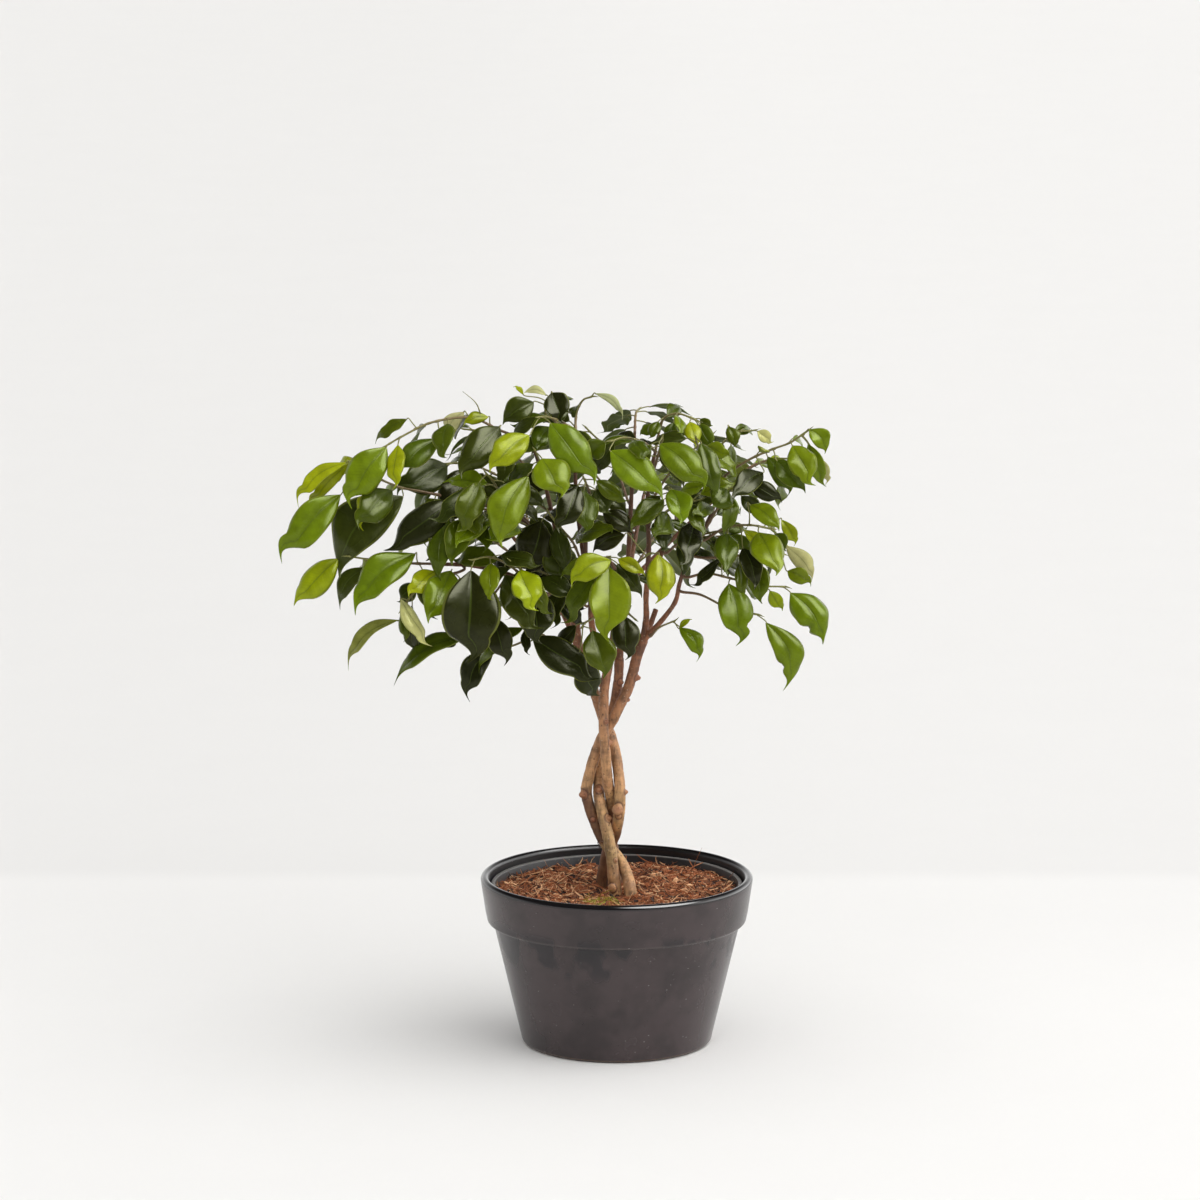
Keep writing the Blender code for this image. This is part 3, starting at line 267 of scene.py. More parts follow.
# The leafy shoots: branch, place along it, points of the twig, filler leaves, their length, then the
# leading leaves as (place along the twig, tip, width, turn about the leaf's own axis in degrees), some
# with how far the midrib bows to one side and the blade's base, and a letter for each one's tone.
SHOOTS = {
    "shoot_top_left": ("a_top", 1, ((-91, -20, 495), (-114, -25, 506), (-144, -30, 503),
                                    (-165, -36, 494), (-178, -40, 487)), 5, 40, (
        (0.99, (-205, -60, 439), 29, 0, 0.09, (-179, -46, 486)),
        (0.79, (-188, -33, 486), 13, 30, 0.04, (-163, -33, 506)),
        (0.26, (-120, -62, 463), 27, 0, 0.05, (-91, -33, 500)),
        (0.31, (-120, -28, 499), 11, 10, 0.13, (-100, -24, 506)),
        (0.45, (-130, -20, 485), 15, 25, 0.19, (-119, -22, 510)),
        (0.65, (-168, -58, 464), 22, 20, 0.08, (-138, -38, 491))), "bmdlpm"),
    "shoot_left_outer": ("a_high", 1, ((-154, -20, 447), (-171, -28, 452), (-192, -35, 463),
                                       (-205, -38, 472)), 4, 42, (
        (0.99, (-247, -46, 437), 14, 20, 0.15, (-210, -40, 473)),
        (0.99, (-239, -30, 434), 12, -20, 0.09, (-209, -35, 471)),
        (0.95, (-260, -58, 396), 29, 0, 0.05, (-215, -43, 448)),
        (0.49, (-216, -50, 382), 41, 10, 0.16, (-167, -33, 445)),
        (0.59, (-199, -68, 424), 27, -10, 0.07, (-175, -39, 451))), "llbdm"),
    "shoot_left_dark": ("a_high", 0.74, ((-118, -30, 436), (-136, -42, 434)), 5, 46, (
        (0.74, (-182, -48, 405), 28, 10, -0.04, (-129, -38, 442)), (0.7, (-150, -66, 398), 24, -15)), "kd"),
    "shoot_left_mid": ("a_left", 1, ((-165, -42, 394), (-190, -45, 397), (-207, -47, 400)), 2, 40, (
        (0.99, (-252, -44, 360), 23, 10, 0.01, (-217, -40, 397)),
        (0.81, (-216, -40, 356), 16, 25, 0.15, (-195, -44, 391)),
        (0.24, (-203, -68, 357), 29, 15, 0.11, (-157, -46, 402))), "ldb"),
    "shoot_left_low": ("a_left", 0.84, ((-146, -44, 380), (-158, -50, 372), (-167, -52, 360)), 3, 34, (
        (0.99, (-209, -58, 311), 16, 40, 0.17, (-170, -54, 351)),
        (0.88, (-143, -68, 333), 16, -30, 0.11, (-168, -56, 368)), (0.8, (-160, -40, 318), 16, 40),
        (0.4, (-161, -72, 371), 18, 0, -0, (-141, -50, 389)),
        (0.22, (-146, -84, 354), 28, -5, 0.01, (-129, -49, 389)),
        (0.55, (-172, -44, 364), 16, 20)), "opklbd"),
    "shoot_left_under": ("a_left", 0.55, ((-98, -32, 364), (-107, -40, 346)), 1, 38, (
        (0.99, (-174, -62, 300), 23, 40, 0.13, (-115, -53, 338)), (0.6, (-138, -36, 326), 18, 20)), "mk"),
    "shoot_left_front": ("a_left", 0.38, ((-84, -40, 392), (-99, -60, 402), (-111, -70, 402)), 3, 40, (
        (0.99, (-117, -88, 323), 47, 0, -0.01, (-113, -75, 394)), (0.8, (-95, -92, 374), 17, 20),
        (0.55, (-55, -80, 350), 26, 0, 0.1, (-87, -55, 387))), "kbd"),
    "shoot_front_left": ("a_high", 0.55, ((-88, -32, 444), (-96, -52, 460), (-101, -62, 468)), 5, 40, (
        (1, (-125, -84, 426), 23, 0), (0.63, (-127, -74, 397), 23, 5, 0.06, (-115, -50, 431)),
        (0.75, (-148, -72, 436), 20, 10)), "mmd"),
    "shoot_front_mid": ("c_left", 0.68, ((-44, -36, 455), (-57, -55, 472), (-63, -66, 486)), 4, 40, (
        (0.83, (-88, -95, 415), 31, 5, 0.12, (-69, -69, 467)), (1, (-44, -94, 454), 30, 0)), "bb"),
    "shoot_front_top": ("c_left", 1, ((-43, -28, 503), (-55, -46, 510), (-60, -54, 511)), 4, 38, (
        (0.99, (-98, -82, 471), 24, 5, 0.07, (-68, -62, 498)), (0.94, (-18, -78, 461), 29, 5)), "lb"),
    "shoot_crown_left": ("c_left", 0.9, ((-46, -8, 497), (-56, -14, 508), (-52, -16, 519)), 3, 36, (
        (0.99, (-41, -36, 503), 21, 0, 0.04, (-51, -22, 525)),
        (0.9, (-89, -26, 500), 20, 0, 0.08, (-65, -18, 517)),
        (0.99, (-74, -14, 522), 8, 20, 0.22, (-55, -15, 522)), (0.55, (-62, -40, 482), 20, 10),
        (0.95, (-81, -20, 529), 4, 0, 0.15, (-73, -17, 523))), "kdpml"),
    "shoot_crown_tip": ("c_left", 0.96, ((-32, 4, 503), (-27, 2, 515), (-20, -4, 519)), 2, 34, (
        (0.99, (4, -10, 501), 7, 30, -0.23, (-17, -6, 522)), (0.5, (-54, 4, 508), 20, 0)), "pd"),
    "shoot_front_high": ("b_up", 1, ((20, -34, 488), (6, -54, 495), (-3, -62, 494)), 4, 34, (
        (0.99, (35, -88, 451), 28, 0, -0.03, (-5, -69, 487)), (0.95, (-24, -56, 478), 17, 0),
        (0.35, (-17, -30, 483), 16, 45)), "bmm"),
    "shoot_front_right": ("b_up", 0.9, ((33, -34, 482), (35, -54, 493), (35, -64, 498)), 4, 34, (
        (0.99, (65, -92, 457), 26, 0, -0.09, (33, -72, 493)), (0.6, (8, -50, 470), 18, 20)), "bm"),
    "shoot_right_front": ("b_mid", 0.55, ((46, -16, 432), (42, -40, 447), (40, -56, 456)), 4, 36, (
        (0.99, (47, -84, 431), 22, 0, -0.11, (42, -64, 456)), (0.7, (11, -68, 423), 19, 15),
        (0.36, (48, -72, 398), 20, 0, -0.03, (60, -33, 425))), "bmk"),
    "shoot_centre": ("c_mid", 1, ((-24, -54, 459), (-26, -62, 465)), 3, 34, (
        (1, (-44, -88, 425), 21, 0), (0.75, (-28, -82, 424), 22, 0), (0.5, (-4, -66, 438), 23, 0),
        (0.03, (12, -64, 420), 17, 0, -0.09, (-11, -58, 437))), "kmdk"),
    "shoot_front_low": ("c_front", 1, ((-8, -72, 404), (-6, -80, 406)), 2, 34, (
        (0.99, (-35, -97, 384), 21, 0, 0.16, (-5, -85, 404)), (0.9, (-6, -104, 343), 34, 0),
        (0.5, (22, -80, 390), 11, 0), (0.3, (-46, -80, 354), 18, 0)), "lblm"),
    "shoot_low_right": ("c_front", 0.66, ((14, -56, 394), (24, -70, 406)), 2, 34, (
        (0.99, (29, -92, 371), 23, 0, -0.1, (32, -76, 407)),
        (0.95, (-19, -52, 403), 17, 0, 0.12, (6, -63, 420))), "lk"),
    "shoot_low_left": ("a_left", 0.18, ((-62, -38, 374), (-73, -60, 391), (-81, -72, 400)), 4, 38, (
        (1, (-60, -94, 366), 25, 0), (0.6, (-58, -66, 334), 30, 5), (0.8, (-48, -82, 362), 16, 20)), "lkm"),
    "shoot_under_centre": ("c_front", 0.3, ((-14, -32, 349), (-24, -46, 348), (-27, -54, 346)), 2, 30, (
        (1, (-11, -68, 307), 27, 0, 0, (-19, -56, 343)),
        (0.99, (-13, -40, 288), 22, 0, 0.11, (-28, -49, 318))), "mk"),
    "shoot_under_left": ("a_low", 0.8, ((-60, -18, 333), (-66, -36, 332)), 0, 34, (
        (1, (-12, -54, 305), 27, 0, 0.04, (-66, -40, 335)),
        (0.88, (-108, -38, 305), 19, 40, 0.13, (-73, -33, 341)),
        (0.4, (-68, -38, 320), 8, 30, 0, (-72, -30, 339))), "kmk"),
    "shoot_low_twig": ("a_low", 1, ((-74, -3, 324), (-84, -8, 321), (-91, -12, 322)), 0, 32, (
        (0.99, (-115, -28, 280), 19, 0, 0.19, (-96, -17, 321)),), "k"),
    "shoot_under_right": ("c_front", 0.5, ((8, -26, 352), (14, -34, 348)), 1, 28, (
        (0.56, (6, -44, 317), 23, 0, -0.01, (6, -32, 350)),), "k"),
    "shoot_small_right": ("b_right", 0.08, ((33, -13, 337), (44, -18, 343)), 0, 24, (
        (0.99, (62, -32, 313), 14, 0, -0.21, (49, -22, 339)),
        (0.99, (59, -20, 345), 5, 0, -0.1, (49, -19, 338))), "bl"),
    "shoot_top_right": ("b_up", 0.96, ((33, 2, 490), (37, -2, 502), (48, -6, 506), (61, -10, 502)), 5, 26, (
        (0.5, (18, -3, 488), 11, 20), (0.6, (24, -16, 488), 11, 20), (0.75, (42, -16, 484), 11, 10),
        (0.96, (61, -30, 483), 14, 0, -0.02, (57, -15, 501)), (0.95, (77, -22, 481), 14, 20),
        (1, (75, -8, 497), 9, 30)), "mmmlmm"),
    "shoot_high_right": ("b_mid", 1, ((80, 4, 478), (92, -2, 490), (104, -3, 492)), 5, 26, (
        (0.75, (90, -14, 480), 11, 10, -0.15, (87, -6, 496)), (1, (123, 0, 483), 10, 10),
        (0.6, (75, -10, 470), 13, 20)), "mpm"),
    "shoot_right_top": ("b_mid", 0.86, ((64, -14, 476), (62, -38, 488), (61, -50, 494)), 4, 32, (
        (0.99, (75, -74, 450), 19, 0, -0.02, (65, -57, 491)), (0.7, (88, -50, 478), 14, 30)), "mb"),
    "shoot_right_tip": ("b_right", 1, ((81, -24, 456), (100, -30, 472), (119, -35, 482),
                                       (134, -37, 488), (147, -38, 497)), 3, 30, (
        (0.86, (154, -64, 459), 24, 0, 0.02, (136, -45, 487)),
        (0.99, (161, -44, 480), 15, 10, -0.2, (149, -40, 499)),
        (0.96, (162, -26, 453), 14, 40, -0.1, (153, -34, 480)),
        (0.72, (146, -54, 451), 17, 15, -0.01, (124, -41, 475)),
        (0.66, (131, -42, 445), 16, 30, -0.14, (117, -36, 477)), (0.95, (163, -36, 453), 14, 20),
        (0.58, (90, -72, 447), 20, 0, 0.09, (113, -44, 466))), "bbpmmbk"),
    "shoot_right_inner": ("b_right", 0.9, ((84, -38, 446), (95, -46, 458)), 4, 30, (
        (0.9, (73, -62, 442), 23, 0), (1, (128, -52, 443), 15, 20), (0.8, (110, -40, 430), 13, 10)), "mkd"),
    "shoot_right_mid": ("b_right", 0.82, ((84, -32, 420), (103, -36, 423), (120, -36, 420)), 3, 32, (
        (0.72, (125, -76, 425), 17, 0, -0.07, (103, -54, 442)),
        (0.99, (138, -30, 405), 11, 20, -0.11, (128, -34, 427)), (1, (132, -46, 404), 13, 10),
        (0.84, (122, -88, 392), 26, 0, -0.03, (110, -52, 420)),
        (0.45, (82, -78, 393), 20, 0, -0.01, (86, -46, 418)),
        (0.61, (106, -62, 376), 18, 0, -0.08, (98, -43, 406))), "blmbmk"),
    "shoot_right_low": ("b_right", 0.7, ((76, -30, 396), (104, -38, 400), (128, -36, 400)), 3, 32, (
        (0.75, (113, -56, 364), 18, 10), (0.99, (152, -24, 375), 15, 20, -0.12, (132, -32, 406)),
        (0.99, (151, -42, 375), 14, 20, -0.13, (133, -38, 387))), "mpb"),
    "shoot_low_outer": ("b_right", 0.55, ((70, -32, 384), (88, -42, 382), (110, -46, 377),
                                          (130, -46, 376)), 1, 32, (
        (0.51, (92, -68, 333), 27, 0, -0.07, (87, -50, 379)),
        (0.99, (160, -62, 333), 28, 0, -0.12, (135, -51, 372)), (0.8, (129, -38, 355), 12, 20),
        (0.43, (55, -48, 379), 13, 40, -0.2, (81, -42, 397))), "bblk"),
    "shoot_low_end": ("b_right", 0.44, ((66, -28, 366), (88, -44, 358), (109, -51, 355)), 0, 30, (
        (0.99, (129, -62, 296), 24, 0, -0.2, (116, -54, 349)),), "b"),
    "shoot_back_left": ("a_back", 1, ((-115, 102, 416), (-136, 108, 420)), 6, 46, (), ""),
    "shoot_back_mid_left": ("a_back", 0.72, ((-74, 92, 425), (-80, 112, 448)), 6, 46, (), ""),
    "shoot_back_side": ("a_back", 0.55, ((-95, 55, 392), (-128, 58, 404), (-158, 56, 402)), 6, 46, (), ""),
    "shoot_back": ("d_back", 1, ((25, 114, 440), (29, 130, 447)), 6, 46, (), ""),
    "shoot_back_centre": ("d_back", 0.72, ((-8, 90, 430), (-28, 108, 450)), 6, 46, (), ""),
    "shoot_back_low": ("d_back", 0.5, ((34, 78, 398), (50, 100, 392)), 5, 44, (), ""),
    "shoot_back_right": ("d_right", 1, ((120, 50, 460), (140, 46, 462)), 7, 40, (), ""),
    "shoot_back_high": ("d_right", 0.66, ((74, 80, 450), (80, 102, 462)), 6, 42, (), ""),
    "shoot_back_outer": ("d_right", 0.45, ((88, 42, 400), (118, 38, 398)), 5, 40, (), ""),
    "shoot_rear_top": ("a_top", 0.62, ((-80, 26, 468), (-100, 44, 482), (-120, 54, 484)), 6, 44, (), ""),
    "shoot_high_back": ("d_up", 1, ((15, 44, 498), (18, 70, 498)), 6, 40, (), ""),
    "shoot_inner_back": ("d_up", 0.7, ((-4, 58, 462), (-24, 84, 480)), 7, 44, (), ""),
    "shoot_inner_left": ("a_top", 0.45, ((-84, 14, 448), (-114, 16, 462), (-140, 8, 464)), 5, 44, (
        (0.85, (-172, -22, 444), 28, 0), (0.7, (-136, -26, 424), 30, 0)), "dk"),
    "shoot_inner_right": ("d_up", 0.6, ((44, 30, 456), (74, 34, 482)), 6, 34, (), ""),
    "shoot_low_back": ("a_back", 0.3, ((-54, 58, 350), (-62, 84, 346)), 5, 42, (), ""),
    "shoot_deep_left": ("a_high", 0.3, ((-58, -24, 412), (-78, -34, 426), (-98, -36, 432)), 7, 46, (), ""),
    "shoot_deep_centre": ("c_left", 0.46, ((-34, -32, 408), (-46, -42, 424), (-54, -46, 436)), 5, 44, (
        (1, (-76, -60, 382), 34, 0), (0.7, (-46, -50, 376), 28, 10)), "kd"),
    "shoot_deep_right": ("b_up", 0.62, ((36, -24, 430), (52, -38, 440), (64, -42, 444)), 7, 38, (), ""),
    "shoot_deep_low": ("c_left", 0.3, ((-36, -20, 370), (-58, -28, 384), (-74, -30, 388)), 6, 42, (), ""),
    "shoot_deep_outer": ("b_mid", 0.3, ((50, -4, 404), (70, -12, 412), (88, -12, 414)), 6, 38, (), ""),
}

# Bumps on the strands, where a side shoot was pruned or a leaf once sat: place and radius.
KNOBS = {
    "stem_a": ((1, -12, 184, 2.4), (9.5, -8, 203.8, 2.3), (-3, 12, 232, 2.0), (-24, 9, 288, 2.2)),
    "stem_b": ((-26.7, -3, 200.7, 3.6), (10.1, 0, 275.7, 2.3), (15.5, 0, 294.3, 3.3), (-19, -3, 180, 2.0)),
    "stem_c": ((-5, -12, 244.8, 2.6), (-8, -16, 262, 2.0), (-3, 22, 152, 2.4), (-12, -7, 290, 2.2)),
    "stem_d": ((-7.2, -8, 182.4, 3.0), (-14.1, -3, 204.8, 3.0), (4.7, 2, 289.4, 2.6), (-1, -16, 150, 1.8)),
}

# Between which heights a strand's bark gets painted shade, darker and redder where it stands in shadow, and
# how far it takes to fade at each end
PAINTED_SHADE_HEIGHTS = {"stem_a": (80, 178), "stem_b": (158, 206), "stem_c": (80, 196)}
SHADE_HEIGHT_FADE = (4, 12)

# Stubs left by the shears: the strand, foot and end, radius at each.
STUBS = (
    ("stem_a", (1, -8, 189), (0.6, -14.6, 191), 4.5, 4.1),
    ("stem_d", (-1, -14, 129), (-4.6, -20.5, 128), 3.6, 3.4),
    ("stem_b", (-8, 3, 163), (-14, -12, 163), 0.6, 0.35),
)

# The setting that each letter of a tone stands for
TONES = {"k": "night", "d": "dark", "m": "mid", "b": "bright", "l": "lime", "p": "pale", "o": "olive"}
# A filler leaf's tone, by the light it stands in: each letter is for light below its number
LIT_TONES = ((0.25, "k"), (0.65, "d"), (1.0, "m"), (1.25, "b"), (math.inf, "l"))
# The crown, for that light: its middle along X, reach, middle height, half height, depth to the front,
# and how far to the sides its front goes
CROWN_MIDDLE, CROWN_REACH = -30 * MM, 120 * MM
CROWN_MID_HEIGHT, CROWN_HALF_HEIGHT = 380 * MM, 90 * MM
CROWN_DEPTH, CROWN_SIDE = 70 * MM, 150 * MM

# Colours of small marks: on the glazed pot, on the grow pot, on the soil, on bark, and on leaves and twigs;
# some stand for painted light and shade: the pot's foot bounce and seam highlight, and the bark's shade low
# on the strands, in the crown and between the strands
SMEAR, PAINTED_FOOT_BOUNCE, PAINTED_SEAM_HIGHLIGHT = (0.006, 0.006, 0.009), (0.12, 0.075, 0.05), (0.085, 0.07, 0.065)
PIT, SPECK, NICK = (0.004, 0.003, 0.003), (0.26, 0.24, 0.23), (0.42, 0.40, 0.39)
DUST, GRIT, PALE_RIM_EDGE = (0.10, 0.09, 0.08), (0.30, 0.25, 0.19), (0.20, 0.19, 0.18)
MOSS = (0.30, 0.30, 0.015)
GREEN_BARK, RED_BARK, PAINTED_LOW_SHADE_COLOUR = (0.26, 0.205, 0.075), (0.30, 0.125, 0.065), (0.10, 0.035, 0.016)
FISSURE, PAINTED_CLEFT_SHADE, PAINTED_CROWN_SHADE = (0.10, 0.045, 0.025), (0.055, 0.02, 0.01), (0.085, 0.042, 0.022)
DARK_DOT, PALE_DOT, TWIG_DOT = (0.075, 0.035, 0.018), (0.62, 0.45, 0.29), (0.30, 0.20, 0.12)
MIDRIB, MARGIN = (0.075, 0.11, 0.012), (0.50, 0.55, 0.10)
UNDERSIDE, UNDER_MIDRIB = (0.15, 0.20, 0.03), (0.30, 0.34, 0.12)
LEAF_SHEEN = (1, 1, 0.78, 1)


# ---------------------------------------------------------------- lines

def metres(points):
    """Points of a table, as vectors in metres."""
    return [Vector(p) * MM for p in points]


def held(value):
    """A value kept between 0 and 1."""
    return max(0.0, min(1.0, value))


def smooth_route(points, per_span):
    """Points on the Catmull-Rom curve through the given ones."""
    line = [Vector(p) for p in points]
    line = [2 * line[0] - line[1], *line, 2 * line[-1] - line[-2]]
    route = []
    for i in range(1, len(line) - 2):
        a, b, c, d = line[i - 1:i + 3]
        for k in range(per_span):
            t = k / per_span
            route.append(0.5 * (2 * b + (c - a) * t + (2 * a - 5 * b + 4 * c - d) * t ** 2
                                + (3 * b - a - 3 * c + d) * t ** 3))
    route.append(line[-2].copy())
    return route


def taper(count, first, last):
    return [first + (last - first) * i / (count - 1) for i in range(count)]


def arc(centre, radius, start, stop, steps):
    """Points on an arc, angles in degrees from +X towards +Z."""
    return [(centre[0] + radius * math.cos(math.radians(start + (stop - start) * i / steps)),
             centre[1] + radius * math.sin(math.radians(start + (stop - start) * i / steps)))
            for i in range(steps + 1)]


def at(route, radii, share):
    """Point, direction and radius at a share of a route's length."""
    spans = [(b - a).length for a, b in zip(route, route[1:])]
    left = share * sum(spans)
    for i, span in enumerate(spans):
        if left <= span or i == len(spans) - 1:
            t = min(1, left / span)
            point = route[i].lerp(route[i + 1], t)
            return point, (route[i + 1] - route[i]).normalized(), radii[i] + (radii[i + 1] - radii[i]) * t
        left -= span


def nearest(line, point):
    """Place on a line of points nearest to one point, as (point, direction, share of the line)."""
    best = None
    for i, (a, b) in enumerate(zip(line, line[1:])):
        span = b - a
        t = held((point - a).dot(span) / max(span.length_squared, 1e-18))
        spot = a + span * t
        far = (point - spot).length
        if best is None or far < best[0]:
            best = far, spot, span.normalized(), (i + t) / (len(line) - 1)
    return best[1:]


def evenly(line, radii, spacing):
    """A line and its radii again, with points a set distance apart."""
    far = np.concatenate([[0], np.cumsum([(b - a).length for a, b in zip(line, line[1:])])])
    places = np.linspace(0, far[-1], max(2, round(far[-1] / spacing) + 1))
    spots = np.stack([np.interp(places, far, [p[k] for p in line]) for k in range(3)], axis=1)
    return [Vector(p) for p in spots], list(np.interp(places, far, radii)), places


# ---------------------------------------------------------------- the model's own rules

def body_radius(z):
    """Outer radius of the glazed pot below its collar."""
    return FOOT_RADIUS + (BODY_TOP_RADIUS - FOOT_RADIUS) * z / (POT_HEIGHT - COLLAR_HEIGHT)


def inner_radius(z):
    """Inner radius of the glazed pot: the wall steps out behind the collar."""
    low, high = WALL_STEP
    lower = body_radius(min(z, low)) - POT_WALL
    upper = RIM_RADIUS - LIP
    return lower + (upper - lower) * held((z - low) / (high - low))


def grow_radius(z):
    """Outer radius of the grow pot's wall."""
    return min(inner_radius(z) - GROW_CLEAR, RIM_RADIUS - LIP - GROW_CLEAR - GROW_FLANGE)


def soil_lift(x, y):
    """How far the uneven soil stands above its mean level: fine bumps and a slight heap at the back."""
    bumps = noise.noise(Vector((x, y, 0)) / SOIL_BUMP) * SOIL_ROUGH
    away = math.dist((x, y), HEAP_PLACE) / HEAP_SPREAD
    return bumps + HEAP_HEIGHT * math.exp(-away ** 2)


def strand_lines():
    """Middle lines and radii of the braided strands, eased apart where they would press together."""
    names = list(STRANDS)
    lines = [np.array(smooth_route(metres(STRANDS[n][2]), STRAND_SPANS)) for n in names]
    radii = [np.array(taper(len(line), *STRANDS[n][:2])) * MM for n, line in zip(names, lines)]
    shifts = [np.zeros_like(line) for line in lines]
    for _ in range(EASE_ROUNDS):
        for i, j in itertools.combinations(range(len(names)), 2):
            one, other = lines[i] + shifts[i], lines[j] + shifts[j]
            apart = one[:, None] - other[None]
            far = np.linalg.norm(apart, axis=2)
            short = radii[i][:, None] + radii[j][None] + BRAID_GAP - far
            push = apart / far[..., None] * np.maximum(short, 0)[..., None] * [0.5, 0.5, 0]
            shifts[i] += strongest(push, 1)
            shifts[j] -= strongest(push, 0)
        for shift in shifts:
            shift[1:-1] = 0.5 * shift[1:-1] + 0.25 * (shift[:-2] + shift[2:])
    return {n: ([Vector(p) for p in line + shift], [float(r) for r in thick])
            for n, line, shift, thick in zip(names, lines, shifts, radii)}


def strongest(push, axis):
    """The longest push along one axis of a table of pushes."""
    pick = np.linalg.norm(push, axis=2).argmax(axis=axis)
    rows = np.arange(len(pick))
    return push[rows, pick] if axis == 1 else push[pick, rows]


def branch_route(name):
    _, foot, end, points = BRANCHES[name]
    return metres(points), [r * MM for r in taper(len(points), foot, end)]


def turn_about(vector, axis, degrees):
    return Matrix.Rotation(math.radians(degrees), 3, axis) @ vector


def jitter(rng, amount):
    return Vector(rng.uniform(-amount, amount) for _ in range(3))


def twig_route(name, attempt):
    """Route and radii of a shoot's twig, standing off its branch by the gap."""
    branch, share, points = SHOOTS[name][:3]
    line, thick = branch_route(branch)
    start, along, radius = at(line, thick, share)
    rng = random.Random(f"{name} twig {attempt}")
    points = [p + jitter(rng, 0.35 * MM * attempt) for p in metres(points)]
    if share == 1.0:
        out = along
        foot = start + out * GAP * 1.2
    else:
        reach = (points[0] - start).normalized()
        reach = turn_about(reach, along, rng.uniform(-1, 1) * 2 * attempt)
        out = (reach - reach.dot(along) * along).normalized()
        foot = start + out * (radius + GAP * 1.2)
    route = [foot, foot + out * STAND_OFF, *points]
    return route, taper(len(route), min(TWIG_RADII[0], radius), TWIG_RADII[1])


def stray(rng, amount):
    """A shift that is mostly in depth, front to back."""
    return Vector(share * step for share, step in zip(STRAY, jitter(rng, amount)))


def leading_leaf(name, index, twig, attempt):
    """A leaf whose tip is set in the table; later attempts stray a little from it."""
    share, tip, width, turn, *more = SHOOTS[name][5][index]
    rng = random.Random(f"{name} leading {index} {attempt}")
    foot, _, _ = at(*twig, min(share, 0.985))
    end = Vector(tip) * MM + stray(rng, 0.8 * MM * attempt)
    normal = Vector((0.1, -1, 0.4)) + jitter(rng, 0.02 * attempt)
    axis = (end - foot).normalized()
    bow, base = (more[0], Vector(more[1]) * MM + stray(rng, 0.4 * MM * attempt)) if more else (0, None)
    return foot, base or leaf_base(foot, end), end, turn_about(normal, axis, turn), width * MM, bow


def filler_leaf(name, index, twig, attempt):
    """A leaf placed by rule: sides alternate along the twig, and the blade droops and faces the light."""
    _, _, _, count, length, leading, _ = SHOOTS[name]
    rng = random.Random(f"{name} filler {index} {attempt}")
    foot, along, _ = at(*twig, 0.1 + 0.88 * (index + rng.uniform(0.2, 0.8)) / count)
    side = along.cross(UP).normalized() * (1 if index % 2 else -1)
    outward = Vector((foot.x, foot.y, 0)).normalized()
    push = Vector((0, 0.5, 0)) if leading else outward * 0.3
    stray = 0.25 + 0.03 * attempt
    reach = side + along * rng.uniform(0.1, 0.9) + push - UP * rng.uniform(0.2, 1.1) + jitter(rng, stray)
    size = length * MM * rng.uniform(0.72, 1.12)
    end = foot + reach.normalized() * (size + STALK_LENGTH)
    light = Vector((0.2, -0.9, 0.5)) * held(0.8 - foot.y / (80 * MM))
    normal = outward * 0.7 + light + UP * 0.7 + jitter(rng, 0.35)
    return foot, leaf_base(foot, end), end, normal, size * LEAF_SHAPE * rng.uniform(0.88, 1.15), 0


def leaf_base(foot, end, length=STALK_LENGTH):
    reach = (end - foot).normalized() + UP * STALK_LIFT
    return foot + reach.normalized() * min(length, 0.3 * (end - foot).length)


class Corners:
    """The corners of one of the model's solids, to find which of several tries it was made from."""

    def __init__(self, node):
        spots = [v.co for v in frame["nodes"][node].data.vertices]
        self.places = np.array(spots)
        self.tree = KDTree(len(spots))
        for i, spot in enumerate(spots):
            self.tree.insert(spot, i)
        self.tree.balance()

    def holds(self, point):
        return self.tree.find(point)[2] < FOUND

    def rings(self, route, radii):
        """How many of a route's points have a corner just a radius away."""
        far = np.linalg.norm(self.places[None] - np.array(route)[:, None], axis=2)
        return int((np.abs(far - np.array(radii)[:, None]).min(axis=1) < FOUND / 2).sum())


def found_twig(name, corners):
    tries = [twig_route(name, attempt) for attempt in range(TWIG_TRIES)]
    return max(tries, key=lambda twig: corners.rings(*twig))


def found_leaf(name, index, twig, rule, corners):
    for attempt in range(LEAF_TRIES):
        row = rule(name, index, twig, attempt)
        if corners.holds(row[2]):
            return row
    raise RuntimeError(f"the model has no leaf {index} of {name}")


# ---------------------------------------------------------------- building meshes

class Build:
    """Points, faces and values of one piece, gathered before it becomes an object."""

    def __init__(self, name, numbers=(), colours=()):
        self.name = name
        self.points, self.faces, self.finishes = [], [], []
        self.numbers = {key: [] for key in numbers}
        self.colours = {key: [] for key in colours}

    def add(self, points, faces, finish=0, **values):
        """Adds a form; a value is one for all its points or a list of one for each."""
        start = len(self.points)
        self.points += [tuple(p) for p in points]
        self.faces += [[start + k for k in face] for face in faces]
        self.finishes += finish if isinstance(finish, list) else [finish] * len(faces)
        for rows, blank in ((self.numbers, 0.0), (self.colours, (0, 0, 0))):
            for key, row in rows.items():
                value = values.get(key, blank)
                row += value if isinstance(value, list) else [value] * len(points)

    def made(self, finishes, smooth=True):
        """The object, with its finishes."""
        mesh = bpy.data.meshes.new(self.name)
        mesh.from_pydata(self.points, [], self.faces)
        mesh.polygons.foreach_set("material_index", self.finishes)
        add_numbers(mesh, self.numbers)
        for key, row in self.colours.items():
            full = np.ones((len(row), 4), np.float32)
            full[:, :3] = row
            mesh.attributes.new(key, "FLOAT_COLOR", "POINT").data.foreach_set("color", full.ravel())
        for finish in finishes:
            mesh.materials.append(finish)
        if smooth:
            mesh.shade_smooth()
        mesh.update()
        return placed(self.name, mesh)


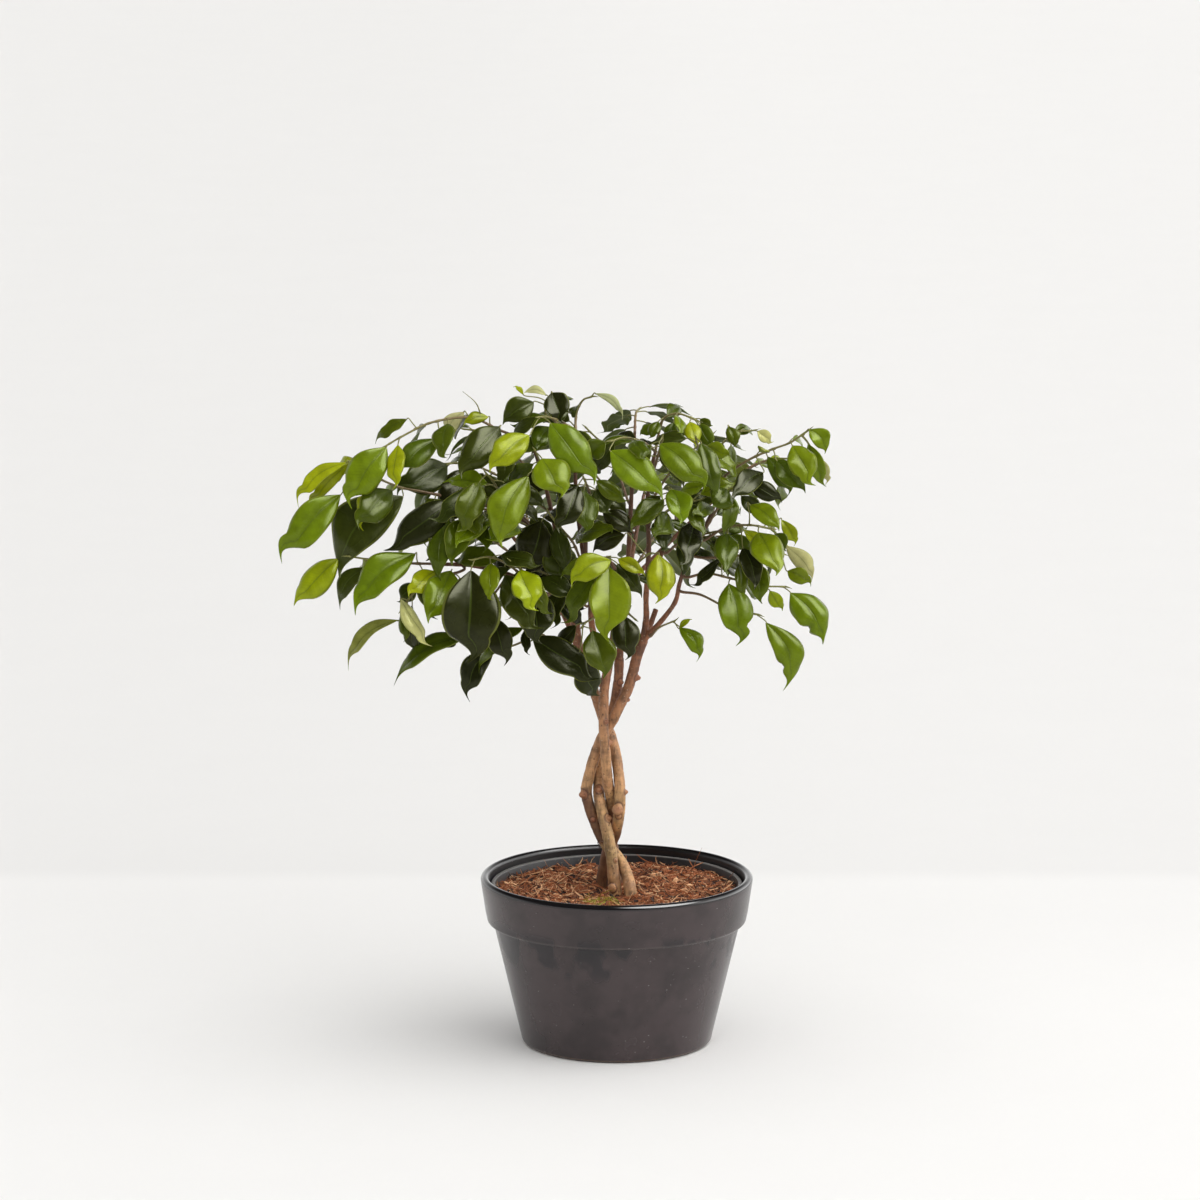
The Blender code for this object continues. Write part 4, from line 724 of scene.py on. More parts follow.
def add_numbers(mesh, numbers):
    """Gives each point of a mesh its numbers, for the shaders."""
    for key, row in numbers.items():
        mesh.attributes.new(key, "FLOAT", "POINT").data.foreach_set("value", row)


def placed(name, data):
    """A new object in the scene."""
    thing = bpy.data.objects.new(name, data)
    bpy.context.scene.collection.objects.link(thing)
    return thing


def settle(thing, slot, *nodes):
    """Hangs a finished piece on the model in place of its nodes."""
    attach(thing, BODY)
    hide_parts(*nodes)


def evaluated(thing, name):
    """The mesh that an object and its modifiers come to."""
    bpy.context.view_layer.update()
    graph = bpy.context.evaluated_depsgraph_get()
    mesh = bpy.data.meshes.new_from_object(thing.evaluated_get(graph))
    mesh.name = name
    return mesh


def tube(points, radii, sides):
    """Rings of points round a line, with the faces of a closed tube."""
    line = [Vector(p) for p in points]
    steps = [(b - a).normalized() for a, b in zip(line, line[1:])]
    ways = [steps[0], *((a + b).normalized() for a, b in zip(steps, steps[1:])), steps[-1]]
    out = ways[0].orthogonal().normalized()
    rings = []
    for point, way, radius in zip(line, ways, radii):
        out = (out - out.dot(way) * way).normalized()
        other = way.cross(out)
        for k in range(sides):
            turn = math.tau * k / sides
            rings.append(point + (out * math.cos(turn) + other * math.sin(turn)) * radius)
    faces = []
    for i in range(len(line) - 1):
        for k in range(sides):
            a, b = i * sides + k, i * sides + (k + 1) % sides
            faces.append((a, b, b + sides, a + sides))
    last = (len(line) - 1) * sides
    faces += [tuple(range(sides - 1, -1, -1)), tuple(range(last, last + sides))]
    return rings, faces


def ball(level):
    """Points and faces of a unit icosphere."""
    shape = bmesh.new()
    bmesh.ops.create_icosphere(shape, subdivisions=level, radius=1)
    points = [v.co.copy() for v in shape.verts]
    faces = [tuple(v.index for v in f.verts) for f in shape.faces]
    shape.free()
    return points, faces


def lathe(profile, sides):
    """A profile of (radius, height), top of its inside first, turned round the Z axis."""
    points, starts = [], []
    for radius, height in profile:
        starts.append(len(points))
        if radius == 0:
            points.append((0, 0, height))
            continue
        for k in range(sides):
            turn = math.tau * k / sides
            points.append((radius * math.cos(turn), radius * math.sin(turn), height))
    faces = []
    for i in range(len(profile) - 1):
        a, b = starts[i], starts[i + 1]
        for k in range(sides):
            n = (k + 1) % sides
            if profile[i][0] == 0:
                faces.append((a, b + k, b + n))
            elif profile[i + 1][0] == 0:
                faces.append((a + k, b, a + n))
            else:
                faces.append((a + k, b + k, b + n, a + n))
    return points, faces


# ---------------------------------------------------------------- shader maths

class Value:
    """A socket that can stand in an expression: each operator adds its Math node."""

    def __init__(self, finish, socket):
        self.finish, self.socket = finish, socket

    def math(self, operation, *values):
        return self.finish.node("ShaderNodeMath", {"operation": operation}, list(values))

    def __add__(self, other):
        return self.math("ADD", self, other)

    def __radd__(self, other):
        return self.math("ADD", other, self)

    def __sub__(self, other):
        return self.math("SUBTRACT", self, other)

    def __rsub__(self, other):
        return self.math("SUBTRACT", other, self)

    def __mul__(self, other):
        return self.math("MULTIPLY", self, other)

    def __rmul__(self, other):
        return self.math("MULTIPLY", other, self)

    def __truediv__(self, other):
        return self.math("DIVIDE", self, other)

    def __abs__(self):
        return self.math("ABSOLUTE", self)

    def larger(self, other):
        return self.math("MAXIMUM", self, other)

    def part(self):
        """What is left over a whole number."""
        return self.math("FRACT", self)


class Finish:
    """A material, or the world, whose nodes are added by expressions."""

    def __init__(self, tree):
        self.tree = tree

    def node(self, kind, settings=None, sockets=(), output=0):
        """Adds a node: settings first, then the values or links of its sockets."""
        made = self.tree.nodes.new(kind)
        for key, setting in (settings or {}).items():
            if key == "stops":
                ramp = made.color_ramp.elements
                while len(ramp) < len(setting):
                    ramp.new(1)
                for stop, (place, colour) in zip(ramp, setting):
                    stop.position, stop.color = place, (*colour, 1)
            else:
                setattr(made, key, setting)
        rows = sockets.items() if isinstance(sockets, dict) else enumerate(sockets)
        for key, value in rows:
            socket = made.inputs[key]
            if isinstance(value, Value):
                self.tree.links.new(value.socket, socket)
            else:
                socket.default_value = (*value, 1) if socket.type == "RGBA" else value
        return Value(self, made.outputs[output])

    def attribute(self, name, colour=False):
        return self.node("ShaderNodeAttribute", {"attribute_name": name}, output=0 if colour else 2)

    def place(self):
        return self.node("ShaderNodeTexCoord", output=3)

    def split(self, vector, axis):
        return self.node("ShaderNodeSeparateXYZ", sockets=[vector], output=axis)

    def stretched(self, vector, scale):
        return self.node("ShaderNodeVectorMath", {"operation": "MULTIPLY"}, [vector, scale])

    def noise(self, scale, detail=2.0, rough=0.5, vector=None):
        return self.node("ShaderNodeTexNoise", sockets={
            "Vector": vector or self.place(), "Scale": scale, "Detail": detail, "Roughness": rough})

    def cells(self, scale, vector=None):
        """Distance to the nearest of scattered spots."""
        return self.node("ShaderNodeTexVoronoi", sockets={
            "Vector": vector or self.place(), "Scale": scale, "Randomness": 1.0})

    def step(self, value, low, high):
        """0 below low and 1 above high, or the other way round, easing between."""
        return self.node("ShaderNodeMapRange", {"interpolation_type": "SMOOTHSTEP"}, [value, low, high])

    def flecks(self, scale, edge, patches, spread, detail=2.0, vector=None):
        """Dots with a soft edge, which come in patches."""
        return self.step(self.cells(scale, vector), *edge) * self.step(self.noise(patches, detail), *spread)

    def mix(self, share, first, second, blend="MIX"):
        return self.node("ShaderNodeMix", {"data_type": "RGBA", "blend_type": blend},
                         {0: share, 6: first, 7: second}, output=2)

    def layers(self, colour, *layers):
        """A colour with others over it, each given by its share and itself."""
        for share, over in layers:
            colour = self.mix(share, colour, over)
        return colour

    def bright(self, colour, factor):
        """A colour made lighter or darker by a factor that varies."""
        grey = self.node("ShaderNodeCombineColor", sockets=[factor, factor, factor])
        return self.mix(1.0, colour, grey, "MULTIPLY")

    def ramp(self, value, *stops):
        return self.node("ShaderNodeValToRGB", {"stops": stops}, [value])

    def bump(self, height, strength, distance):
        return self.node("ShaderNodeBump", sockets={
            "Height": height, "Strength": strength, "Distance": distance})


def finished(name, plan, **constants):
    """A material: plan adds its nodes and gives what changes over the surface."""
    made = bpy.data.materials.new(name)
    made.use_nodes = True
    shader = made.node_tree.nodes["Principled BSDF"]
    for key, value in constants.items():
        shader.inputs[key.replace("_", " ")].default_value = value
    for key, value in plan(Finish(made.node_tree)).items():
        made.node_tree.links.new(value.socket, shader.inputs[key])
    return made


# ---------------------------------------------------------------- settings

def colour_setting(name, description, default):
    return bpy.props.FloatVectorProperty(name=name, description=description, default=default, size=3,
                                         min=0, max=1, subtype="COLOR")


def share_setting(name, description, default):
    return bpy.props.FloatProperty(name=name, description=description, default=default, min=0, max=1,
                                   subtype="FACTOR")


def size_setting(name, description, default):
    return bpy.props.FloatProperty(name=name, description=description, default=default, min=0,
                                   subtype="DISTANCE", unit="LENGTH")


class FigPotSettings(bpy.types.PropertyGroup):
    glaze: colour_setting("Glaze", "Colour of the pot's satin wall", (0.039, 0.027, 0.028))
    lip: colour_setting("Lip", "Colour of the glossy glaze that pools on the lip", (0.008, 0.007, 0.008))
    satin: share_setting("Satin", "Roughness of the wall's glaze", 0.25)
    gloss: share_setting("Gloss", "Roughness of the lip's glaze", 0.1)
    plastic: colour_setting("Plastic", "Colour of the grow pot", (0.018, 0.018, 0.020))


class FigSoilSettings(bpy.types.PropertyGroup):
    # The darkest coir, and the colour of the painted shade in the bed's hollows
    dark: colour_setting("Dark coir and hollow shade", "Colour of the soil in its hollows", (0.016, 0.006, 0.003))
    warm: colour_setting("Coir", "Colour of most of the coir", (0.36, 0.118, 0.044))
    straw: colour_setting("Straw", "Colour of the palest fibres and chips", (0.93, 0.56, 0.30))
    crumbs: bpy.props.IntProperty(name="Crumbs", description="Loose crumbs on the soil", default=1200)
    fibres: bpy.props.IntProperty(name="Fibres", description="Coir fibres on the soil", default=3900)
    chips: bpy.props.IntProperty(name="Chips", description="Husk chips on the soil", default=110)


class FigBarkSettings(bpy.types.PropertyGroup):
    low: colour_setting("Old bark", "Colour of the bark near the soil", (0.49, 0.268, 0.118))
    high: colour_setting("Young bark", "Colour of the bark in the crown", (0.24, 0.092, 0.042))
    scar: colour_setting("Scars", "Colour of healed cuts and knobs", (0.33, 0.12, 0.062))
    grain: size_setting("Grain", "Size of the voxels that the strands are carved from", 0.75 * MM)
    uneven: size_setting("Unevenness", "Height of the lumps in the bark", 0.35 * MM)


# The tones are the leaves' own colours by age, and they also carry painted light and shade: a filler leaf on
# the lit outside of the crown takes a lighter tone, one deep inside a darker one
class FigLeafSettings(bpy.types.PropertyGroup):
    night: colour_setting("Night", "Oldest leaves", (0.016, 0.018, 0.003))
    dark: colour_setting("Dark", "Old leaves", (0.030, 0.039, 0.003))
    mid: colour_setting("Mid", "Grown leaves", (0.056, 0.080, 0.002))
    bright: colour_setting("Bright", "Leaves that have just filled out", (0.118, 0.166, 0.002))
    lime: colour_setting("Lime", "Young leaves", (0.23, 0.275, 0.002))
    olive: colour_setting("Olive", "Leaves that show their paler side", (0.20, 0.22, 0.035))
    pale: colour_setting("Pale", "Buds just opened", (0.42, 0.42, 0.17))
    young_twig: colour_setting("Young twig", "Colour of a twig at its tip", (0.17, 0.17, 0.035))
    old_twig: colour_setting("Old twig", "Colour of a twig at its foot", (0.16, 0.085, 0.045))
    thick: size_setting("Thickness", "Thickness of a blade", 0.32 * MM)
    fold: share_setting("Fold", "How far a blade's halves rise from its midrib", 0.46)
    gloss: share_setting("Gloss", "Roughness of the upper side", 0.26)


class FigStageSettings(bpy.types.PropertyGroup):
    floor: colour_setting("Floor", "Colour of the floor", (0.86, 0.853, 0.843))
    key: bpy.props.FloatProperty(name="Key", description="Strength of the key light", default=1.0)
    fill: bpy.props.FloatProperty(name="Fill", description="Strength of the light from all round",
                                  default=0.74)
    soft: bpy.props.FloatProperty(name="Soft", description="Strength of the wide light from above",
                                  default=0.42)
    spread: bpy.props.FloatProperty(name="Spread", description="How wide the key light looks",
                                    default=math.radians(80), subtype="ANGLE", unit="ROTATION")


# ---------------------------------------------------------------- glazed pot and grow pot

def glaze(settings):
    """Satin and faintly blotched, with smears, pits and nicks, and glossy on the lip, with a painted
    highlight along the collar's seam and painted warm bounce light at the foot.
    """
    def plan(f):
        place = f.place()
        across, deep, height = (f.split(place, axis) for axis in range(3))
        inside = f.step(across * across + deep * deep, (RIM_RADIUS - 0.8 * LIP) ** 2,
                        (RIM_RADIUS - 0.95 * LIP) ** 2) * f.step(height, SHOULDER, SHOULDER + 4 * MM)
        blotch = f.noise(22, 3, 0.55) * 0.7 + f.noise(75, 2) * 0.3
        pits = f.flecks(260, (0.16, 0.08), 60, (0.5, 0.62))
        specks = f.flecks(150, (0.1, 0.05), 35, (0.56, 0.62))
        nicks = f.flecks(95, (0.075, 0.03), 28, (0.5, 0.58), vector=f.stretched(place, (1, 1, 3.5)))
        high = f.step(height, *LIP_GLAZE).larger(inside)
        # A painted highlight along the seam under the collar
        edge = f.step(abs(height - (SHOULDER + 1 * MM)), 1.6 * MM, 0.6 * MM)
        wiped = f.step(across, *WIPED_LEFT) * f.step(deep, *WIPED_FRONT)
        smear = f.step(f.noise(30, 3, 0.5, f.stretched(place, (1, 1, 0.7))) - wiped * 0.045, 0.46, 0.41)
        smear = smear * f.step(height, *SMEAR_FOOT) * f.step(height, *SMEAR_HEAD)
        colour = f.bright(settings.glaze, f.step(blotch, 0.36, 0.62) * 0.5 + 0.72)
        # Painted warm bounce light at the foot, and a painted highlight along the collar's seam
        colour = f.layers(colour, (smear * 0.65, SMEAR), (f.step(height, 3.5 * MM, 1 * MM) * 0.6, PAINTED_FOOT_BOUNCE),
                          (edge * 0.35, PAINTED_SEAM_HIGHLIGHT), (high, settings.lip), (pits * 0.7, PIT),
                          (specks * 0.6, SPECK), (nicks * 0.8, NICK))
        rough = settings.satin + (f.noise(48, 3) - 0.5) * 0.16 + smear * 0.06
        rough = rough * (1 - high) + high * (settings.gloss + inside * 0.3)
        relief = f.noise(14, 2) * 0.6 + f.noise(160, 2) * 0.12 - pits * 0.6
        return {"Base Color": colour, "Roughness": rough, "Normal": f.bump(relief, 0.25, 0.5 * MM)}

    return finished("glaze", plan, IOR=1.5)


def glazed_pot(settings):
    lip = LIP / 2
    corner = inner_radius(POT_FLOOR + FLOOR_ROUND)
    inside = [(0, POT_FLOOR), (corner / 2, POT_FLOOR),
              *arc((corner - FLOOR_ROUND, POT_FLOOR + FLOOR_ROUND), FLOOR_ROUND, -90, 0, 6)]
    inside += [(inner_radius(z), z) for z in np.linspace(POT_FLOOR + 2 * FLOOR_ROUND, WALL_STEP[0], 8)]
    inside += [(inner_radius(z), z) for z in (WALL_STEP[1], WALL_STEP[1] + 2 * MM, POT_HEIGHT - 9 * MM)]
    over = arc((RIM_RADIUS - lip, POT_HEIGHT - lip), lip, 180, 0, 18)
    collar = RIM_RADIUS - COLLAR_TAPER
    fall = [(RIM_RADIUS - COLLAR_TAPER * k / 8, POT_HEIGHT - lip - (COLLAR_HEIGHT - lip) * k / 8)
            for k in range(1, 7)]
    under = arc((collar - COLLAR_ROUND, SHOULDER + COLLAR_ROUND), COLLAR_ROUND, 0, -90, 8)
    crease = [(body_radius(SHOULDER) + 0.5 * MM, SHOULDER), (body_radius(SHOULDER), SHOULDER - 0.6 * MM)]
    wall = [(body_radius(z), z) for z in np.linspace(SHOULDER - 3 * MM, FOOT_ROUND * 1.6, 14)]
    foot = arc((body_radius(FOOT_ROUND) - FOOT_ROUND, FOOT_ROUND), FOOT_ROUND, -12, -90, 8)
    ring = FOOT_RADIUS - 12 * MM
    under_foot = [(ring, 0), (ring - 2 * MM, 1.2 * MM), (ring / 2, 1.2 * MM), (0, 1.2 * MM)]
    build = Build("glazed_pot")
    build.add(*lathe(inside + over + fall + under + crease + wall + foot + under_foot, POT_SIDES))
    settle(build.made([glaze(settings)]), "glaze", "outer_pot")


def plastic(settings):
    def plan(f):
        height = f.split(f.place(), 2)
        dust = f.step(f.noise(90, 4, 0.65), 0.5, 0.75)
        grit = f.flecks(330, (0.2, 0.1), 70, (0.48, 0.6), 3)
        # Lighter along the top of the rim
        edge = f.step(height, GROW_TOP - 0.9 * MM, GROW_TOP - 0.3 * MM)
        colour = f.layers(settings.plastic, (dust * 0.2, DUST), (grit * 0.6, GRIT),
                          (edge * 0.75, PALE_RIM_EDGE))
        return {"Base Color": colour, "Roughness": 0.42 + dust * 0.3,
                "Normal": f.bump(f.noise(220, 2) + grit, 0.2, 0.3 * MM)}

    return finished("plastic", plan)


def grow_pot(settings):
    rim = grow_radius(GROW_TOP)
    outer = [(grow_radius(z), z) for z in GROW_LEVELS] + [(rim, GROW_TOP - GROW_WALL)]
    inner = [(r - GROW_WALL, z) for r, z in outer]
    base = grow_radius(GROW_LEVELS[0]) - GROW_CORNER
    inside = rim - GROW_WALL
    lip = arc((rim + GROW_FLANGE - GROW_WALL / 2, GROW_TOP - GROW_WALL / 2), GROW_WALL / 2, 90, -90, 6)
    profile = [(0, GROW_BOTTOM + GROW_FLOOR), (base - GROW_WALL, GROW_BOTTOM + GROW_FLOOR), *inner[:-1],
               (inside, GROW_TOP - GROW_WALL), (inside + GROW_WALL / 3, GROW_TOP - GROW_WALL / 4),
               (inside + GROW_WALL, GROW_TOP), *lip, *reversed(outer), (base, GROW_BOTTOM), (0, GROW_BOTTOM)]
    build = Build("grow_pot_shell")
    build.add(*lathe(profile, GROW_SIDES))
    drills = Build("drain_drills")
    for i in range(DRAIN_HOLES):
        turn = math.tau * (i + DRAIN_TURN) / DRAIN_HOLES
        spot = Vector((math.cos(turn), math.sin(turn), 0)) * DRAIN_CIRCLE + UP * GROW_BOTTOM
        reach = UP * DRAIN_DEPTH / 2
        drills.add(*tube([spot - reach, spot + reach], [DRAIN_RADIUS] * 2, DRAIN_SIDES))
    shell, drill = build.made([plastic(settings)]), drills.made([])
    cut = shell.modifiers.new("drains", "BOOLEAN")
    cut.operation, cut.solver, cut.object = "DIFFERENCE", "MANIFOLD", drill
    mesh = evaluated(shell, "grow_pot_shell")
    for thing in (shell, drill):
        bpy.data.objects.remove(thing, do_unlink=True)
    mesh.shade_smooth()
    mesh.set_sharp_from_angle(angle=math.radians(40))
    settle(placed("grow_pot_shell", mesh), "plastic", "grow_pot")


# ---------------------------------------------------------------- soil

def coir(settings):
    """Darker in the hollows and lighter on the high points of the bed, painted shade and light, with pale
    fibres and chips among the rest and a little moss.
    """
    def plan(f):
        value = f.attribute("shade") * 0.95 + f.noise(140, 4, 0.65) * 0.7 - 0.3
        colour = f.ramp(value, (0.2, settings.dark), (0.48, settings.warm), (0.74, settings.warm),
                        (1.0, settings.straw))
        colour = f.layers(colour, (f.step(f.cells(700), 0.3, 0.15) * 0.25, settings.dark),
                          (f.attribute("moss") * f.step(f.noise(260, 3), 0.3, 0.5), MOSS))
        return {"Base Color": colour, "Normal": f.bump(f.noise(900, 3, 0.7), 0.5, 0.4 * MM)}

    return finished("coir", plan, Roughness=0.9)


def soil_height(x, y, reach):
    """The soil's top: the model's own lift, and crumbly detail that it leaves out."""
    fade = held((reach - math.hypot(x, y)) / SOIL_EDGE)
    lift = soil_lift(x, y) * (0.3 + 0.7 * fade)
    crumbly = noise.fractal(Vector((x, y, 0.1)) / (6 * MM), 0.9, 2.1, 4) * CRUMBLE_HEIGHT * MM
    clod = noise.noise(Vector((x, y, 5)) / (12 * MM)) * CLOD_HEIGHT * MM
    return SOIL_TOP + lift + (crumbly + clod) * (0.35 + 0.65 * fade)


def moss_at(x, y):
    """How green the soil is: a thin patch of moss at the front."""
    away = math.hypot(*((p - middle) / half for p, middle, half in zip((x, y), MOSS_PLACE, MOSS_SIZE)))
    return held(1.7 * (1.2 - away))


def soil_bed(settings):
    """The soil, closed round the grow pot's inside, and what lies loose on it."""
    rng = random.Random("soil")
    reach = grow_radius(SOIL_TOP) - GROW_WALL - GAP
    profile = [(0, SOIL_TOP)] + [(reach * i / SOIL_RINGS, SOIL_TOP) for i in range(1, SOIL_RINGS + 1)]
    profile += [(grow_radius(z) - GROW_WALL - GAP, z) for z in reversed(GROW_LEVELS)]
    bottom = GROW_BOTTOM + GROW_FLOOR + GAP
    base = grow_radius(GROW_LEVELS[0]) - GROW_CORNER - GROW_WALL - 2 * GAP
    points, faces = lathe(profile + [(base, bottom), (0, bottom)], SOIL_SIDES)
    top = 1 + SOIL_RINGS * SOIL_SIDES
    points = [(x, y, soil_height(x, y, reach)) if i < top else (x, y, z)
              for i, (x, y, z) in enumerate(points)]
    # The bed is darker in its hollows and lighter on its high points: painted shade and light
    shade = [0.16 + (z - SOIL_TOP) / (8 * MM) + rng.uniform(-0.1, 0.1) for x, y, z in points]
    build = Build("soil_bed", ("shade", "moss"))
    build.add(points, faces, shade=shade, moss=[moss_at(x, y) for x, y, _ in points])
    round_points, round_faces = ball(1)
    for _ in range(settings.crumbs):
        x, y = scattered(rng, reach - 1 * MM)
        size = rng.uniform(0.3, 1.0) ** 2 * CRUMB_SPREAD * MM + CRUMB_LEAST * MM
        spin = Matrix.Rotation(rng.uniform(0, math.tau), 3, jitter(rng, 1).normalized())
        shape = Vector((rng.uniform(0.6, 1.5), rng.uniform(0.5, 1.1), rng.uniform(0.35, 0.8)))
        centre = Vector((x, y, soil_height(x, y, reach) + size * rng.uniform(-0.1, 0.35)))
        bits = [centre + spin @ (p * shape * rng.uniform(0.75, 1.15)) * size for p in round_points]
        build.add(bits, round_faces, shade=rng.choice(CRUMB_SHADES), moss=moss_at(x, y) * 0.8)
    for _ in range(settings.fibres):
        add_fibre(build, rng, reach)
    for _ in range(settings.chips):
        add_chip(build, rng, reach)
    for shade, thick, points in SPRIGS:
        line = smooth_route(metres(points), 4)
        build.add(*tube(line, taper(len(line), thick * MM, thick * 0.4 * MM), 5), shade=shade)
    settle(build.made([coir(settings)], smooth=False), "soil", "soil")


def scattered(rng, reach):
    """A place spread evenly over a disc."""
    turn, far = rng.uniform(0, math.tau), reach * math.sqrt(rng.random())
    return far * math.cos(turn), far * math.sin(turn)


def add_fibre(build, rng, reach):
    """A thin curved fibre that lies on the soil, some with an end that stands up."""
    x, y = scattered(rng, reach - 1 * MM)
    way, bend = rng.uniform(0, math.tau), rng.uniform(-1.6, 1.6)
    coarse = rng.random() < FIBRE_COARSE
    length = rng.uniform(0.3, 1.0) ** 2 * FIBRE_SPREAD * MM + FIBRE_LEAST[coarse] * MM
    rise = rng.uniform(0, 0.5) if rng.random() < FIBRE_RISING else rng.uniform(-0.05, 0.12)
    if math.hypot(x, y) > reach - 12 * MM:
        rise *= 1.3
    points = []
    for i in range(FIBRE_POINTS):
        t = i / (FIBRE_POINTS - 1)
        points.append(Vector((x, y, soil_height(x, y, reach) + 0.25 * MM + rise * length * t)))
        x += math.cos(way + bend * t) * length / FIBRE_POINTS
        y += math.sin(way + bend * t) * length / FIBRE_POINTS
        far = math.hypot(x, y)
        if far > reach:
            x, y = x * reach / far, y * reach / far
    thick = rng.uniform(*FIBRE_RADII[coarse]) * MM
    build.add(*tube(points, [thick] * (FIBRE_POINTS - 2) + [thick * 0.8, thick * 0.3], 3),
              shade=rng.choice(FIBRE_SHADES) + rng.uniform(-0.1, 0.1),
              moss=moss_at(x, y) * 0.9)


def add_chip(build, rng, reach):
    """A flat splinter of husk."""
    x, y = scattered(rng, reach - 4 * MM)
    length, width = rng.uniform(*CHIP_LENGTH) * MM, rng.uniform(*CHIP_WIDTH) * MM
    spin = Matrix.Rotation(rng.uniform(0, math.tau), 3, "Z") @ Matrix.Rotation(rng.uniform(-0.5, 0.5), 3, "Y")
    centre = Vector((x, y, soil_height(x, y, reach) + 0.5 * MM))
    rows = [centre + spin @ Vector((a * length / 2, b * width, s * CHIP_THICKNESS / 2))
            for s in (1, -1) for a, b in CHIP_OUTLINE]
    n = len(CHIP_OUTLINE)
    faces = [tuple(range(n)), tuple(range(2 * n - 1, n - 1, -1))]
    faces += [(k, k + n, (k + 1) % n + n, (k + 1) % n) for k in range(n)]
    build.add(rows, faces, shade=rng.uniform(0.55, 1.05), moss=0.0)


# ---------------------------------------------------------------- strands

def bark(settings):
    """Pale and warm below, with fissures, dots and scars, and painted shade: in the crown, low on some
    strands, between the strands and in the grooves round the scars.
    """
    def plan(f):
        place = f.place()
        height = f.split(place, 2)
        long = f.noise(150, 5, 0.65, f.stretched(place, (1, 1, 0.25)))
        ring = f.noise(210, 4, 0.6, f.stretched(place, (0.3, 0.3, 1)))
        green = f.step(f.noise(30, 2), 0.44, 0.62) * f.step(height, *GREEN_FADE)
        patch = f.step(f.noise(38, 3, 0.6), 0.5, 0.68)
        fissure = f.step(f.noise(330, 4, 0.6, f.stretched(place, (1, 1, 0.16))), 0.42, 0.34)
        dots = f.flecks(300, (0.26, 0.15), 90, (0.40, 0.54), vector=f.stretched(place, (1, 1, 0.75)))
        pale = f.step(f.cells(240, f.stretched(place, (1, 1, 1.3))), 0.2, 0.1)
        colour = f.mix(f.step(height, *AGE_FADE), settings.low, settings.high)
        colour = f.layers(colour, (green * 0.5, GREEN_BARK), (patch * 0.45, RED_BARK))
        colour = f.bright(colour, f.step(long * 0.7 + ring * 0.3, 0.36, 0.62) * 0.9 + 0.45)
        colour = f.layers(colour, (fissure * 0.5, FISSURE), (dots * 0.75, DARK_DOT), (pale * 0.35, PALE_DOT),
                          # Painted shade low on some strands and in the crown, then the scars' own colour,
                          # then painted shade between the strands and round the scars
                          (f.attribute("russet") * 0.82, PAINTED_LOW_SHADE_COLOUR),
                          (f.step(height, *CROWN_SHADE_FADE) * 0.75, PAINTED_CROWN_SHADE),
                          (f.attribute("scar") * 0.65, settings.scar), (f.attribute("crease") * 0.9, PAINTED_CLEFT_SHADE))
        relief = long * 0.6 + ring * 0.35 - fissure * 0.35 + dots * 0.5 - pale * 0.2
        return {"Base Color": colour, "Roughness": 0.5 + long * 0.2,
                "Normal": f.bump(relief, 0.8, 0.8 * MM)}

    return finished("bark", plan, Specular_IOR_Level=0.5)


def add_limb(build, line, radii, rng, swell, sides):
    """A stem with the slight rings and swellings of its old leaf joints."""
    line, radii, places = evenly(line, radii, LIMB_SPACING)
    place = rng.uniform(4, 12) * MM
    joints = []
    while place < places[-1]:
        joints.append((place, rng.uniform(0.5, 1.0)))
        place += rng.uniform(*JOINTS_APART) * MM
    thick = [r * (1 + sum(swell * size * math.exp(-((s - j) / JOINT_LENGTH) ** 2) for j, size in joints))
             for r, s in zip(radii, places)]
    build.add(*tube(line, thick, sides))


def cleft(spots, stems):
    """How close each point lies to another stem, for the painted shade between stems: 1 where they touch, 0
    from CLEFT away.
    """
    far = np.full(len(spots), 1.0)
    for line, radii in stems:
        for spot, radius in zip(*evenly(line, radii, 2 * MM)[:2]):
            far = np.minimum(far, np.linalg.norm(spots - np.array(spot), axis=1) - radius)
    return np.clip(1 - (far / CLEFT) ** 2, 0, 1)


def strand(name, line, radii, others, settings, skin):
    """One strand with its branches, knobs and stubs, carved from one block."""
    rng = random.Random(f"{name} bark")
    build = Build(name + "_bark")
    flare = [r * (1 + FLARE * math.exp(-max(0, p.z - SOIL_TOP) / FLARE_HEIGHT)) + SKIN
             for p, r in zip(line, radii)]
    add_limb(build, line, flare, rng, STRAND_SWELL, STRAND_SIDES)
    for branch, row in BRANCHES.items():
        if row[0] == name:
            route, thick = branch_route(branch)
            smooth = smooth_route(route, BRANCH_SPANS)
            add_limb(build, smooth, taper(len(smooth), thick[0], thick[-1]), rng, BRANCH_SWELL, BRANCH_SIDES)
    scars = add_knobs(build, name, line, radii) + add_stubs(build, name)
    mesh = carved(build, settings.grain)
    weather(mesh, name, scars, others, settings.uneven)
    mesh.materials.append(skin)
    mesh.shade_smooth()
    settle(placed(name + "_bark", mesh), "bark", name)


def add_knobs(build, name, line, radii):
    """Adds a strand's knobs, and gives each one's centre, size and way out."""
    round_points, round_faces = ball(3)
    scars = []
    for x, y, z, size in KNOBS[name]:
        spot = Vector((x, y, z)) * MM
        foot, way, share = nearest(line, spot)
        out = spot - foot
        out = (out - out.dot(way) * way).normalized()
        radius = radii[round(share * (len(radii) - 1))]
        centre = foot + out * (radius + KNOB_RISE * size * MM)
        scars.append((centre, size * MM, out))
        build.add([centre + Vector((p.x, p.y, p.z * KNOB_FLAT)) * size * KNOB_SHARE * MM
                   for p in round_points], round_faces)
    return scars


